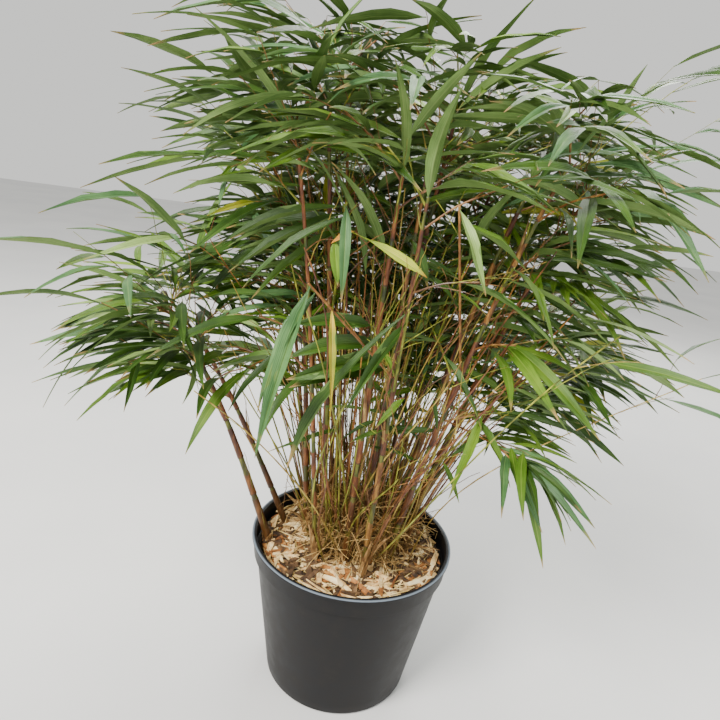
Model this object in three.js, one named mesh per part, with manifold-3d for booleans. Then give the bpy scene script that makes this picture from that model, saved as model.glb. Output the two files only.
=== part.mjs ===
// A potted clumping bamboo: a round black nursery pot with wood-chip mulch, main culms that fan out of one foot,
// tufts of thin shoots between them, a leafy top on each main culm and leafy sprays lower down.
// Millimetres, +Z up. The origin is the centre of the pot's flat underside, and -Y is the side first looked at.

import * as THREE from "three";
import { mergeVertices } from "three/addons/utils/BufferGeometryUtils.js";
import Module from "manifold-3d";

const wasm = await Module();
wasm.setup();

// The clearance that touching pieces keep.
const GAP = 0.3;

// The pot: a 10 litre nursery container with a collar and a thin lip.
const POT_HEIGHT = 220;
const RIM_RADIUS = 140;
const LIP_WIDTH = 4;
const LIP_HEIGHT = 4;
const COLLAR_HEIGHT = 28;
const COLLAR_STEP = 4;
const COLLAR_BEVEL = 1;
const POT_BASE_RADIUS = 104;
const WALL = 2.2;
const FLOOR = 3;
const BASE_CHAMFER = 3;
const POT_SIDES = 36;

// The potting soil and the chips that lie on it, sunk by most of their height.
const SOIL_TOP = 196;
const CHIP_COUNT = 22;
const CHIP = { length: 26, width: 9, height: 4.5, lift: 0.9, tilt: 0.2 };
const CHIP_RING = [100, 112];
const CHIP_ROOM = 28;

// The main culms. Their lengths and tilts run from the middle of the clump to its edge, with a spread about that.
const CULM_COUNT = 17;
const FOOT_RADIUS = 84;
const FOOT_CENTRE = [-3, 14];
const FIRST_TURN = 0.4;
const LEAN_SPREAD = 0.3;
const CULM_LENGTH = { middle: 640, edge: 500, shares: [0.9, 1.04] };
const CULM_TILT = { middle: 3, edge: 17, spread: 4 };
const UPRIGHT_SHARE = 0.45;
const CULM_RADIUS = [3, 4.8];
const CULM_TAPER = 0.55;
const CULM_PULL = 0.62;
const CULM_STEPS = 24;
const CULM_SIDES = 6;
const CULM_RINGS = 8;
const BARE_SHARE = [0.54, 0.66];

// Three culms lean far out: two stand by themselves at the left, and one crosses the clump towards the right.
const LONE_CULMS = [
  { foot: [-114, -14], lean: 184, tilt: 20, length: 360 },
  { foot: [-96, 30], lean: 176, tilt: 25, length: 370 },
  { foot: [58, 40], lean: 30, tilt: 36, length: 400 },
];

// The thin shoots, in tufts that each share one root crown.
const TUFT_FEET = [[-60, 26], [-16, -22], [28, 46], [58, 2]];
const TUFT_SHIFT = 15;
const SHOOTS_PER_TUFT = 12;
const TUFT_CROWN = { radius: 9, height: 5, sides: 8, taper: 0.8 };
const SHOOT_RING = 5.4;
const SHOOT_LENGTH = [290, 480];
const SHOOT_LEAN = [0.02, 0.22];
const TUFT_LEAN = 0.25;
const SHOOT_RADIUS = 1.3;
const SHOOT_TIP_RADIUS = 0.65;
const SHOOT_PULL = 0.7;
const SHOOT_STEPS = 4;
const SHOOT_TRIES = 120;

// The stems and twigs of the leafy tops.
const TOP_SIDES = 4;
const TOP_RINGS = 6;
const TWIGS_PER_TOP = 8;
const TWIG_LENGTH = [50, 95];
const TWIG_RADIUS = 1.2;
const TWIG_TIP_RADIUS = 0.84;
const TWIG_PULL = 0.75;
const TWIG_STEPS = 2;
const TWIG_TURN = 0.5;
const TWIG_OUT = 0.85;
const TWIG_RISE = [0.4, 1];
const TWIG_TRIES = 8;
const FIRST_TWIG = 0.03;
const LAST_TWIG = 0.98;

// The leaves, and where they leave their twig.
const LEAF_SHARES = [1, 0.78, 0.56, 0.34];
const LEAF_LENGTH = [100, 145];
const LEAF_WIDTH_SHARE = 0.115;
const LEAF_THICKNESS_SHARE = 0.018;
const LEAF_SUNK = 1;
const TIP_LEAF_BACK = 3;
const LEAF_WIDEST = 0.42;
const LEAF_LIFT = 0.06;
const LEAF_ASIDE = 0.7;
const LEAF_ASIDE_SPREAD = 0.3;
const LEAF_TWIST = 0.6;
const LEAF_LEVELLING = 0.45;
const LEAF_DROOP = [0, 0.5];
const LEAF_TRIES = 8;

// The sprays. Each leaves a culm at a share of its length, and rises at a slope between two limits.
const SPRAY_RADIUS = 1.4;
const SPRAY_SIDES = 4;
const SPRAY_FROM = 0.15;
const SPRAY_EVERY = 0.03;
const SPRAY_BELOW_TOP = 0.02;
const SPRAY_SLOPE = [0.1, 0.93];

// The sprays in front: where each stem ends, and each leaf's distance back from there, its turn about the pot,
// its fall below level and its length. Their leaves face up and a little forwards.
const FRONT_SPRAYS = [
  { tip: [-79, -172, 602], leaves: [[0, -138, 74, 170], [9, -150, 67, 127], [36, -69, 74, 136]] },
  { tip: [21, -152, 585], leaves: [[0, -164, 59, 205], [14, -130, 45, 110]] },
  { tip: [-52, -160, 680], leaves: [[0, -76, 72, 91], [14, -173, 41, 122], [30, -7, 22, 95]] },
  { tip: [51, -168, 690], leaves: [[0, -42, 58, 84], [14, 13, 26, 90]] },
  { tip: [74, -60, 520], leaves: [[0, -20, 43, 95], [18, 15, 25, 115]] },
  { tip: [138, -58, 450], leaves: [[0, -131, 67, 108], [14, -28, 48, 95]] },
  { tip: [-112, -55, 500], leaves: [[0, -151, 49, 100], [18, 165, 20, 120], [36, -120, 40, 110]] },
  { tip: [-60, -60, 672], leaves: [[0, -174, 22, 150], [12, -165, 32, 145], [26, 172, 16, 140], [40, 178, 38, 130]] },
  { tip: [-14, -84, 548], leaves: [[0, -167, 2, 90], [30, -160, 8, 110], [52, -157, 14, 120], [76, -155, 9, 125]] },
];
const FACING = new THREE.Vector3(0, -0.4, 1);
const TIP_SHIFTS = [0, 6, -6, 12, -12, 18, -18];
const LEAF_TURNS = [0, 8, -8, 16, -16, 24, -24];

// In front the stems show under the crown: only the front sprays hang leaves in this space.
const OPEN_FRONT = { edge: -75, middle: -30, half: 140, top: 700 };

// The sprays round the sides and back, at even turns from one side of the front to the other.
const SIDE_SPRAYS = 5;
const SIDE_TURNS = [-10, 190];
const SIDE_TURN_SPREAD = 0.25;
const SIDE_HEIGHT = [400, 500];
const SIDE_REACH = [145, 180];
const SIDE_TWIGS = [{ share: 0.98, turn: -0.9 }, { share: 0.78, turn: 0 }, { share: 0.58, turn: 0.9 }];

// Clearances between growing pieces, which are tested on beads strung along them.
const LIMB_BEAD = 6;
const LEAF_BEAD = 5;
const CLEARANCE = 2.8;
const FOOT_SHARE = 0.12;
const STEM_SPOTS = 8;
const SPACE_SLACK = 45;

const GOLDEN_ANGLE = Math.PI * (3 - Math.sqrt(5));
const DEGREE = Math.PI / 180;
const NEARLY_ZERO = 1e-3;
const SHORTEST_EDGE = 0.01;
const UP = new THREE.Vector3(0, 0, 1);

// Numbers that are the same on every run.
function seeded(seed) {
  let state = seed;
  return (low = 0, high = 1) => {
    state = (state * 1664525 + 1013904223) % 4294967296;
    return low + (high - low) * (state / 4294967296);
  };
}

function between(low, high, share) {
  return low + (high - low) * share;
}

function level(turn) {
  return new THREE.Vector3(Math.cos(turn), Math.sin(turn), 0);
}

// A direction that is turned about the pot and falls below level, both in degrees.
function falling(turn, fall) {
  const drop = fall * DEGREE;
  return level(turn * DEGREE).multiplyScalar(Math.cos(drop)).addScaledVector(UP, -Math.sin(drop));
}

// A level direction square to a given one.
function levelAcross(way) {
  const across = new THREE.Vector3().crossVectors(way, UP);
  return across.length() < NEARLY_ZERO ? across.set(1, 0, 0) : across.normalize();
}

// A limb's line. It sets out in one direction and is pulled down more at each step, as a thin end sags.
function grow(start, direction, length, steps, pull) {
  const way = direction.clone().normalize();
  const places = [start.clone()];
  const ways = [way.clone()];
  for (let i = 0; i < steps; i++) {
    places.push(places[i].clone().addScaledVector(way, length / steps));
    way.z -= (pull * 2 * (i + 1)) / (steps * (steps + 1));
    way.normalize();
    ways.push(way.clone());
  }
  return { places, ways, length, side: levelAcross(ways[0]) };
}

// The share of a line at a distance back from its tip.
function shareBack(line, back) {
  return 1 - back / line.length;
}

// The place and direction at a share of a line's length.
function along(line, share) {
  const last = line.places.length - 1;
  const spot = Math.min(Math.max(share, 0), 1) * last;
  const i = Math.min(Math.floor(spot), last - 1);
  const place = line.places[i].clone().lerp(line.places[i + 1], spot - i);
  const way = line.ways[i].clone().lerp(line.ways[i + 1], spot - i).normalize();
  return { place, way };
}

// What has grown so far, as beads that know their piece and its twig. Twig 0 is the piece's stem. A new twig may touch
// its own piece's stem only, and where no twig is named, all of its own piece.
const grown = [];

function limbBeads(line, from, to, footRadius, tipRadius) {
  const count = Math.max(2, Math.ceil(((to - from) * line.length) / LIMB_BEAD) + 1);
  return Array.from({ length: count }, (_, i) => {
    const share = i / (count - 1);
    return { place: along(line, between(from, to, share)).place, radius: between(footRadius, tipRadius, share) };
  });
}

function leafBeads(leaf) {
  const count = Math.ceil(leaf.length / LEAF_BEAD) + 1;
  const halfWidth = (LEAF_WIDTH_SHARE * leaf.length) / 2;
  return Array.from({ length: count }, (_, i) => {
    const share = i / (count - 1);
    const fullness = Math.min(share / LEAF_WIDEST, (1 - share) / (1 - LEAF_WIDEST));
    const end = share < LEAF_WIDEST ? leaf.root : leaf.tip;
    return { place: end.clone().lerp(leaf.middle, fullness), radius: halfWidth * fullness };
  });
}

function isClear(beads, owner, twig = null) {
  const kin = (other) => other.owner === owner && (twig === null || other.twig === 0 || other.twig === twig);
  const others = grown.filter((other) => !kin(other));
  return beads.every((bead) =>
    others.every((other) => bead.place.distanceTo(other.place) > bead.radius + other.radius + CLEARANCE),
  );
}

function keep(beads, owner, twig = 0) {
  for (const bead of beads) grown.push({ ...bead, owner, twig });
}

function numbered(name, index) {
  return `${name}_${String(index + 1).padStart(2, "0")}`;
}

function culmRadiusAt(culm, share) {
  return culm.radius * (1 - CULM_TAPER * share);
}

// The main culms. Their feet lie on a spiral, and the further out a foot is, the more its culm leans and the shorter
// it is. Those towards the front and the left stand more upright.
function growCulms() {
  const random = seeded(11);
  const plans = Array.from({ length: CULM_COUNT }, (_, i) => {
    const out = Math.sqrt((i + 0.5) / CULM_COUNT);
    const turn = FIRST_TURN + i * GOLDEN_ANGLE;
    const lean = turn + random(-LEAN_SPREAD, LEAN_SPREAD);
    const upright = Math.max(0, -Math.sin(lean), -Math.cos(lean));
    const tilt = between(CULM_TILT.middle, CULM_TILT.edge, out) + random(-CULM_TILT.spread, CULM_TILT.spread);
    return {
      foot: level(turn).multiplyScalar(FOOT_RADIUS * out).add(new THREE.Vector3(...FOOT_CENTRE, 0)),
      lean,
      tilt: tilt * between(1, UPRIGHT_SHARE, upright) * DEGREE,
      length: between(CULM_LENGTH.middle, CULM_LENGTH.edge, out * out) * random(...CULM_LENGTH.shares),
    };
  });
  for (const { foot, lean, tilt, length } of LONE_CULMS) {
    plans.push({ foot: new THREE.Vector3(...foot, 0), lean: lean * DEGREE, tilt: tilt * DEGREE, length });
  }
  return plans.map(({ foot, lean, tilt, length }) => {
    foot.z = SOIL_TOP + GAP;
    const direction = level(lean).multiplyScalar(Math.sin(tilt)).addScaledVector(UP, Math.cos(tilt));
    return {
      line: grow(foot, direction, length, CULM_STEPS, CULM_PULL),
      lean,
      radius: random(...CULM_RADIUS),
      bareShare: random(...BARE_SHARE),
    };
  });
}

const culms = growCulms();
culms.forEach((culm, i) => {
  const bareEnd = culmRadiusAt(culm, culm.bareShare);
  keep(limbBeads(culm.line, 0, culm.bareShare, culm.radius, bareEnd), numbered("culm", i));
  keep(limbBeads(culm.line, culm.bareShare, 1, bareEnd, culmRadiusAt(culm, 1)), numbered("leafy_top", i));
});

// Each top keeps to its own space: nothing on it comes much nearer to another top's stem than to its own.
const topStems = culms.map(({ line, bareShare }, i) => ({
  owner: numbered("leafy_top", i),
  places: Array.from({ length: STEM_SPOTS }, (_, j) => along(line, between(bareShare, 1, j / (STEM_SPOTS - 1))).place),
}));

function distanceTo(places, spot) {
  return Math.min(...places.map((place) => place.distanceTo(spot)));
}

function inOwnSpace(spot, owner) {
  const own = topStems.find((stem) => stem.owner === owner);
  if (!own) return true;
  const near = distanceTo(own.places, spot);
  return topStems.every((stem) => stem === own || distanceTo(stem.places, spot) > near - SPACE_SLACK);
}

// A leaf, lifted where it is widest, unless it would leave its piece's space or touch another piece. Its width lies
// along the flat direction.
function growLeaf(root, way, flat, length, owner, twig) {
  const normal = new THREE.Vector3().crossVectors(way, flat);
  const middle = root.clone().addScaledVector(way, LEAF_WIDEST * length).addScaledVector(normal, LEAF_LIFT * length);
  const tip = root.clone().addScaledVector(way, length);
  const leaf = { root, middle, tip, flat, normal, length };
  if (![middle, tip].every((spot) => inOwnSpace(spot, owner))) return null;
  const beads = leafBeads(leaf);
  if (!isClear(beads, owner, twig)) return null;
  keep(beads, owner, twig);
  return leaf;
}

function inOpenFront(spot) {
  const { edge, middle, half, top } = OPEN_FRONT;
  return spot.y < edge && Math.abs(spot.x - middle) < half && spot.z < top;
}

// A leaf that leaves its twig to one side and droops, tried a few times over.
function seekLeaf(random, root, twigWay, aside, owner, twig) {
  for (let tries = 0; tries < LEAF_TRIES; tries++) {
    const across = levelAcross(twigWay).multiplyScalar(aside + random(-LEAF_ASIDE_SPREAD, LEAF_ASIDE_SPREAD));
    const way = twigWay.clone().add(across);
    way.z = way.z * LEAF_LEVELLING - random(...LEAF_DROOP);
    way.normalize();
    const flat = levelAcross(way).negate().applyAxisAngle(way, random(-LEAF_TWIST, LEAF_TWIST));
    const length = random(...LEAF_LENGTH);
    const spots = [LEAF_WIDEST, 1].map((share) => root.clone().addScaledVector(way, share * length));
    const leaf = spots.some(inOpenFront) ? null : growLeaf(root, way, flat, length, owner, twig);
    if (leaf) return leaf;
  }
  return null;
}

// A twig with a leaf at its tip and others to either side, or null where none finds room.
function growTwig(random, start, direction, length, owner, twig) {
  const line = grow(start, direction, length, TWIG_STEPS, TWIG_PULL);
  const beads = limbBeads(line, 0, 1, TWIG_RADIUS, TWIG_TIP_RADIUS);
  if (!isClear(beads, owner, twig)) return null;
  const leaves = [];
  LEAF_SHARES.forEach((share, i) => {
    const { place, way } = along(line, Math.min(share, shareBack(line, TIP_LEAF_BACK)));
    const aside = i === 0 ? 0 : (i % 2 ? 1 : -1) * LEAF_ASIDE;
    const leaf = seekLeaf(random, place, way, aside, owner, twig);
    if (leaf) leaves.push(leaf);
  });
  if (!leaves.length) return null;
  keep(beads, owner, twig);
  return { line, leaves };
}

function seekTwig(random, start, stemWay, turn, owner, twig) {
  for (let tries = 0; tries < TWIG_TRIES; tries++) {
    const outward = level(turn + random(-TWIG_TURN, TWIG_TURN)).multiplyScalar(TWIG_OUT);
    const direction = outward.addScaledVector(stemWay, random(...TWIG_RISE));
    const grownTwig = growTwig(random, start, direction, random(...TWIG_LENGTH), owner, twig);
    if (grownTwig) return grownTwig;
  }
  return null;
}

// Where a spray's stem leaves a culm for its tip: on the culm's side, clear of everything else on its way. The
// shortest such stem is taken.
function sprayStem(tip, owner) {
  let best = null;
  for (const [i, culm] of culms.entries()) {
    for (let share = SPRAY_FROM; share <= culm.bareShare - SPRAY_BELOW_TOP; share += SPRAY_EVERY) {
      const { place, way } = along(culm.line, share);
      const reach = tip.clone().sub(place);
      const length = reach.length();
      const direction = reach.normalize();
      if (direction.z < SPRAY_SLOPE[0] || direction.z > SPRAY_SLOPE[1] || (best && length >= best.length)) continue;
      const outward = direction.clone().addScaledVector(way, -direction.dot(way));
      const slant = Math.sqrt(1 - outward.length() ** 2);
      const start = place.addScaledVector(outward.normalize(), culmRadiusAt(culm, share) + GAP + SPRAY_RADIUS * slant);
      const line = grow(start, tip.clone().sub(start), tip.distanceTo(start), 1, 0);
      const footBeads = limbBeads(line, 0, FOOT_SHARE, SPRAY_RADIUS, SPRAY_RADIUS);
      const beads = limbBeads(line, FOOT_SHARE, 1, SPRAY_RADIUS, TWIG_RADIUS);
      if (isClear(footBeads, numbered("culm", i)) && isClear(beads, owner)) best = line;
    }
  }
  return best;
}

// The stem of a spray in front, whose tip moves a little to either side where something is in its way.
function frontStem([x, y, z], owner) {
  for (const shift of TIP_SHIFTS) {
    const line = sprayStem(new THREE.Vector3(x + shift, y, z), owner);
    if (line) return line;
  }
  return null;
}

const frontSprays = FRONT_SPRAYS.map(({ tip, leaves }, i) => {
  const owner = numbered("front_spray", i);
  const line = frontStem(tip, owner);
  keep(limbBeads(line, 0, 1, SPRAY_RADIUS, TWIG_RADIUS), owner);
  const grownLeaves = leaves.map(([back, turn, fall, length]) => {
    const root = along(line, shareBack(line, back + TIP_LEAF_BACK)).place;
    for (const extra of LEAF_TURNS) {
      const way = falling(turn + extra, fall);
      const leaf = growLeaf(root, way, new THREE.Vector3().crossVectors(FACING, way).normalize(), length, owner, 1);
      if (leaf) return leaf;
    }
    return null;
  });
  return { owner, line, twigs: [], leaves: grownLeaves.filter(Boolean) };
});

// A tuft of thin shoots: a low root crown on the soil and the shoots that rise out of it, each with a leaf at its tip.
function growTuft([x, y], index, random) {
  const owner = `thin_shoots_${index + 1}`;
  const heart = new THREE.Vector3();
  do {
    heart.set(x, y, SOIL_TOP + GAP).addScaledVector(level(random(0, 2 * Math.PI)), random(0, TUFT_SHIFT));
  } while (!isClear([{ place: heart, radius: TUFT_CROWN.radius }], owner));
  keep([{ place: heart, radius: TUFT_CROWN.radius }], owner);
  const shoots = [];
  const leaves = [];
  for (let tries = 0; tries < SHOOT_TRIES && shoots.length < SHOOTS_PER_TUFT; tries++) {
    const turn = tries * GOLDEN_ANGLE;
    const foot = heart.clone().addScaledVector(level(turn), SHOOT_RING);
    foot.z += TUFT_CROWN.height / 2;
    const outward = new THREE.Vector3(heart.x, heart.y, 0).multiplyScalar(TUFT_LEAN / FOOT_RADIUS);
    const direction = level(turn).multiplyScalar(random(...SHOOT_LEAN)).add(outward).add(UP);
    const line = grow(foot, direction, random(...SHOOT_LENGTH), SHOOT_STEPS, SHOOT_PULL);
    const footBeads = limbBeads(line, 0, FOOT_SHARE, SHOOT_RADIUS, SHOOT_RADIUS);
    const beads = limbBeads(line, FOOT_SHARE, 1, SHOOT_RADIUS, SHOOT_TIP_RADIUS);
    if (!isClear(footBeads, owner) || !isClear(beads, owner, tries + 1)) continue;
    keep([...footBeads, ...beads], owner, tries + 1);
    shoots.push(line);
    const end = along(line, shareBack(line, TIP_LEAF_BACK));
    const leaf = seekLeaf(random, end.place, end.way, 0, owner, tries + 1);
    if (leaf) leaves.push(leaf);
  }
  return { owner, heart, shoots, leaves };
}

const tuftRandom = seeded(29);
const tufts = TUFT_FEET.map((foot, i) => growTuft(foot, i, tuftRandom));

const sideRandom = seeded(53);
const sideSprays = Array.from({ length: SIDE_SPRAYS }, (_, i) => {
  const owner = numbered("side_spray", i);
  const turn = between(...SIDE_TURNS, i / (SIDE_SPRAYS - 1)) * DEGREE;
  let line = null;
  while (!line) {
    const outward = level(turn + sideRandom(-SIDE_TURN_SPREAD, SIDE_TURN_SPREAD));
    const tip = outward.multiplyScalar(sideRandom(...SIDE_REACH)).setZ(sideRandom(...SIDE_HEIGHT));
    line = sprayStem(tip, owner);
  }
  keep(limbBeads(line, 0, 1, SPRAY_RADIUS, TWIG_RADIUS), owner);
  const twigs = SIDE_TWIGS.map((plan, j) => {
    const { place, way } = along(line, plan.share);
    return seekTwig(sideRandom, place, way, turn + plan.turn, owner, j + 1);
  });
  return { owner, line, twigs: twigs.filter(Boolean), leaves: [] };
});

// The leafy top of each main culm: the rest of its stem, with twigs all round and a leaf at the tip.
const tops = culms.map((culm, i) => {
  const { line, bareShare, lean } = culm;
  const owner = numbered("leafy_top", i);
  const random = seeded(100 + i);
  const from = bareShare + GAP / line.length;
  const twigs = Array.from({ length: TWIGS_PER_TOP }, (_, j) => {
    const { place, way } = along(line, between(from + FIRST_TWIG, LAST_TWIG, j / (TWIGS_PER_TOP - 1)));
    return seekTwig(random, place, way, lean + j * GOLDEN_ANGLE, owner, j + 1);
  });
  const end = along(line, shareBack(line, TIP_LEAF_BACK));
  const leaf = seekLeaf(random, end.place, end.way, 0, owner, TWIGS_PER_TOP + 1);
  return { owner, culm, from, twigs: twigs.filter(Boolean), leaves: leaf ? [leaf] : [] };
});

// A closed, tapering tube on a stretch of a line.
function tube(line, from, to, footRadius, tipRadius, sides, rings) {
  const form = new THREE.CylinderGeometry(tipRadius, footRadius, 1, sides, rings);
  const spots = form.getAttribute("position");
  for (let i = 0; i < spots.count; i++) {
    const { place, way } = along(line, between(from, to, spots.getY(i) + 0.5));
    const across = new THREE.Vector3().crossVectors(line.side, way).normalize();
    place.addScaledVector(line.side, spots.getX(i)).addScaledVector(across, spots.getZ(i));
    spots.setXYZ(i, place.x, place.y, place.z);
  }
  return form;
}

// Slides a tube's lowest ring along its axis onto a level plane, for a flat cut at the ground.
function cutLevel(form, line, height) {
  const spots = form.getAttribute("position");
  const way = line.ways[0];
  for (let i = 0; i < spots.count; i++) {
    const spot = new THREE.Vector3().fromBufferAttribute(spots, i);
    if (spot.clone().sub(line.places[0]).dot(way) > 1) continue;
    spot.addScaledVector(way, (height - spot.z) / way.z);
    spots.setXYZ(i, spot.x, spot.y, spot.z);
  }
  return form;
}

// A leaf: an octahedron drawn out to a root and a tip, flat above and with a keel below. The root is sunk in the middle
// of its twig.
function leafForm({ root, middle, tip, flat, normal, length }) {
  const form = new THREE.OctahedronGeometry(1);
  const spots = form.getAttribute("position");
  const sunkRoot = root.clone().addScaledVector(middle.clone().sub(root).normalize(), -LEAF_SUNK);
  for (let i = 0; i < spots.count; i++) {
    const end = Math.round(spots.getX(i));
    const centre = [sunkRoot, middle, tip][end + 1];
    const halfWidth = (spots.getY(i) * LEAF_WIDTH_SHARE * length) / 2;
    const keel = Math.min(0, spots.getZ(i)) * LEAF_THICKNESS_SHARE * length;
    const spot = centre.clone().addScaledVector(flat, halfWidth).addScaledVector(normal, keel);
    spots.setXYZ(i, spot.x, spot.y, spot.z);
  }
  return form;
}

function twigForm({ line }) {
  return tube(line, 0, 1, TWIG_RADIUS, TWIG_TIP_RADIUS, 3, TWIG_STEPS);
}

function foliageForms({ twigs, leaves }) {
  return [...twigs.map(twigForm), ...twigs.flatMap((twig) => twig.leaves).map(leafForm), ...leaves.map(leafForm)];
}

function solidOf(form) {
  const bare = form.clone();
  bare.deleteAttribute("normal");
  bare.deleteAttribute("uv");
  const merged = mergeVertices(bare);
  return new wasm.Manifold(
    new wasm.Mesh({
      numProp: 3,
      vertProperties: merged.getAttribute("position").array,
      triVerts: new Uint32Array(merged.index.array),
    }),
  );
}

// Joins closed forms that run into each other into one body. Flat faces are merged, and edges too short to matter
// are closed up.
function fused(forms) {
  const whole = wasm.Manifold.union(forms.map(solidOf)).asOriginal().simplify(SHORTEST_EDGE);
  const [body] = whole.decompose().sort((a, b) => b.volume() - a.volume());
  const mesh = body.getMesh();
  const form = new THREE.BufferGeometry();
  form.setAttribute("position", new THREE.BufferAttribute(new Float32Array(mesh.vertProperties), 3));
  form.setIndex(new THREE.BufferAttribute(new Uint32Array(mesh.triVerts), 1));
  return form;
}

const blackPlastic = new THREE.MeshStandardMaterial({ color: "#17171a", roughness: 0.45, metalness: 0 });
const pottingSoil = new THREE.MeshStandardMaterial({ color: "#8a6440", roughness: 0.95, metalness: 0 });
const culmSkin = new THREE.MeshStandardMaterial({ color: "#8a5a35", roughness: 0.5, metalness: 0 });
const shootSkin = new THREE.MeshStandardMaterial({ color: "#8b7440", roughness: 0.6, metalness: 0 });
const leafSkin = new THREE.MeshStandardMaterial({ color: "#4c7043", roughness: 0.45, metalness: 0 });

const plant = new THREE.Group();

function addPiece(name, form, material) {
  const piece = new THREE.Mesh(form, material);
  piece.name = name;
  plant.add(piece);
}

// A solid turned from an outline of radii and heights.
function turned(outline) {
  const profile = outline.map(([radius, height]) => new THREE.Vector2(radius, height));
  return new THREE.LatheGeometry(profile, POT_SIDES).rotateX(Math.PI / 2);
}

const collarRadius = RIM_RADIUS - LIP_WIDTH;
const shoulderRadius = collarRadius - COLLAR_STEP;
const shoulderHeight = POT_HEIGHT - COLLAR_HEIGHT;

// The pot, from its flat underside up over the step of the collar and the lip, and down inside.
function potForm() {
  return turned([
    [0, 0],
    [POT_BASE_RADIUS - BASE_CHAMFER, 0],
    [POT_BASE_RADIUS, BASE_CHAMFER],
    [shoulderRadius, shoulderHeight],
    [collarRadius, shoulderHeight + COLLAR_BEVEL],
    [collarRadius, POT_HEIGHT - LIP_HEIGHT],
    [RIM_RADIUS, POT_HEIGHT - LIP_HEIGHT],
    [RIM_RADIUS, POT_HEIGHT],
    [collarRadius - WALL, POT_HEIGHT],
    [collarRadius - WALL, shoulderHeight + COLLAR_BEVEL],
    [shoulderRadius - WALL, shoulderHeight],
    [POT_BASE_RADIUS - WALL, FLOOR],
    [0, FLOOR],
  ]);
}

// The soil fills the pot to below the lip.
function soilForm() {
  const fill = shoulderRadius - WALL - 2 * GAP;
  return turned([
    [0, FLOOR + GAP],
    [POT_BASE_RADIUS - WALL - 2 * GAP, FLOOR + GAP],
    [fill, shoulderHeight],
    [fill, SOIL_TOP],
    [0, SOIL_TOP],
  ]);
}

// Wood chips on the soil, in a ring round the clump's foot, away from the culms and crowns that stand out there.
function chipForms() {
  const random = seeded(7);
  const feet = [...culms.map((culm) => culm.line.places[0]), ...tufts.map((tuft) => tuft.heart)];
  const forms = [];
  for (let i = 0; i < CHIP_COUNT; i++) {
    const chip = new THREE.BoxGeometry(CHIP.length * random(0.7, 1.2), CHIP.width * random(0.8, 1.2), CHIP.height);
    chip.rotateX(random(-CHIP.tilt, CHIP.tilt)).rotateZ(random(0, Math.PI));
    const spot = level(i * GOLDEN_ANGLE).multiplyScalar(random(...CHIP_RING)).setZ(SOIL_TOP + CHIP.lift);
    if (feet.every((foot) => foot.distanceTo(spot) > CHIP_ROOM)) forms.push(chip.translate(...spot));
  }
  return forms;
}

addPiece("pot", potForm(), blackPlastic);
addPiece("mulched_soil", fused([soilForm(), ...chipForms()]), pottingSoil);

culms.forEach((culm, i) => {
  const { line, radius, bareShare } = culm;
  const form = tube(line, 0, bareShare, radius, culmRadiusAt(culm, bareShare), CULM_SIDES, CULM_RINGS);
  addPiece(numbered("culm", i), cutLevel(form, line, SOIL_TOP + GAP), culmSkin);
});

for (const { owner, heart, shoots, leaves } of tufts) {
  const { radius, height, sides, taper } = TUFT_CROWN;
  const crown = new THREE.CylinderGeometry(radius * taper, radius, height, sides);
  crown.rotateX(Math.PI / 2).translate(heart.x, heart.y, heart.z + height / 2);
  const shootForms = shoots.map((line) => tube(line, 0, 1, SHOOT_RADIUS, SHOOT_TIP_RADIUS, 3, SHOOT_STEPS));
  addPiece(owner, fused([crown, ...shootForms, ...leaves.map(leafForm)]), shootSkin);
}

for (const spray of [...frontSprays, ...sideSprays]) {
  const stem = tube(spray.line, 0, 1, SPRAY_RADIUS, TWIG_RADIUS, SPRAY_SIDES, 1);
  addPiece(spray.owner, fused([stem, ...foliageForms(spray)]), leafSkin);
}

for (const top of tops) {
  const { culm, from } = top;
  const stem = tube(culm.line, from, 1, culmRadiusAt(culm, from), culmRadiusAt(culm, 1), TOP_SIDES, TOP_RINGS);
  addPiece(top.owner, fused([stem, ...foliageForms(top)]), leafSkin);
}

export default plant;
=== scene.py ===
import math

import bmesh
import bpy
import numpy as np
from mathutils import Matrix, Vector


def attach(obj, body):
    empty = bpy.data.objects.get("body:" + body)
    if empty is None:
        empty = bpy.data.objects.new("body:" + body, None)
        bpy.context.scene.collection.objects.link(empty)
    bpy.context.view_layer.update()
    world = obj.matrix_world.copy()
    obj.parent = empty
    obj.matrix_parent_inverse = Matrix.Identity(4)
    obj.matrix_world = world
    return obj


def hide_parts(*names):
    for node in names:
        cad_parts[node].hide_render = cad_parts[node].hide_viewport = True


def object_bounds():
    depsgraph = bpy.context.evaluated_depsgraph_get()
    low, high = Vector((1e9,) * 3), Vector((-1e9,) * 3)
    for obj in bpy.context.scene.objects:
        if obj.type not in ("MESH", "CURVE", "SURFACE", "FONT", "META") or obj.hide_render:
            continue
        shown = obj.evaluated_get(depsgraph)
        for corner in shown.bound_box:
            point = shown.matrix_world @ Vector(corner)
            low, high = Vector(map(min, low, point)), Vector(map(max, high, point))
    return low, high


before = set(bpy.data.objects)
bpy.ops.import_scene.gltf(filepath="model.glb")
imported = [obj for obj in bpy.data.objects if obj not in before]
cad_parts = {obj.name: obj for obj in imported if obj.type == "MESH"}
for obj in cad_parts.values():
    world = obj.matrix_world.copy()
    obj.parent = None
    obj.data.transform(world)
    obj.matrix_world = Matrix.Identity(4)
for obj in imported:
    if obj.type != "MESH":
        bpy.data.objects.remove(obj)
cad_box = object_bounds()


# The nursery pot: one injection-moulded black plastic container. A straight tapering wall steps out to a collar
# under a thin flat lip. It stands loose on its flat underside.
POT_HEIGHT = 0.220
RIM_RADIUS = 0.140
COLLAR_RADIUS = 0.136
SHOULDER_RADIUS = 0.132
POT_BASE_RADIUS = 0.104
SHOULDER = 0.192
WALL = 0.0022
POT_FLOOR = 0.003
LIP = 0.004
STEP = 0.001
PLASTIC_BLACKS = [(0.009, 0.009, 0.010), (0.012, 0.011, 0.011), (0.018, 0.017, 0.015)]
# The pale bluish grey of the painted highlight on the lip's outer edge, a painted reflection.
LIP_HIGHLIGHT_GREY = (0.20, 0.24, 0.29)


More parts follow.
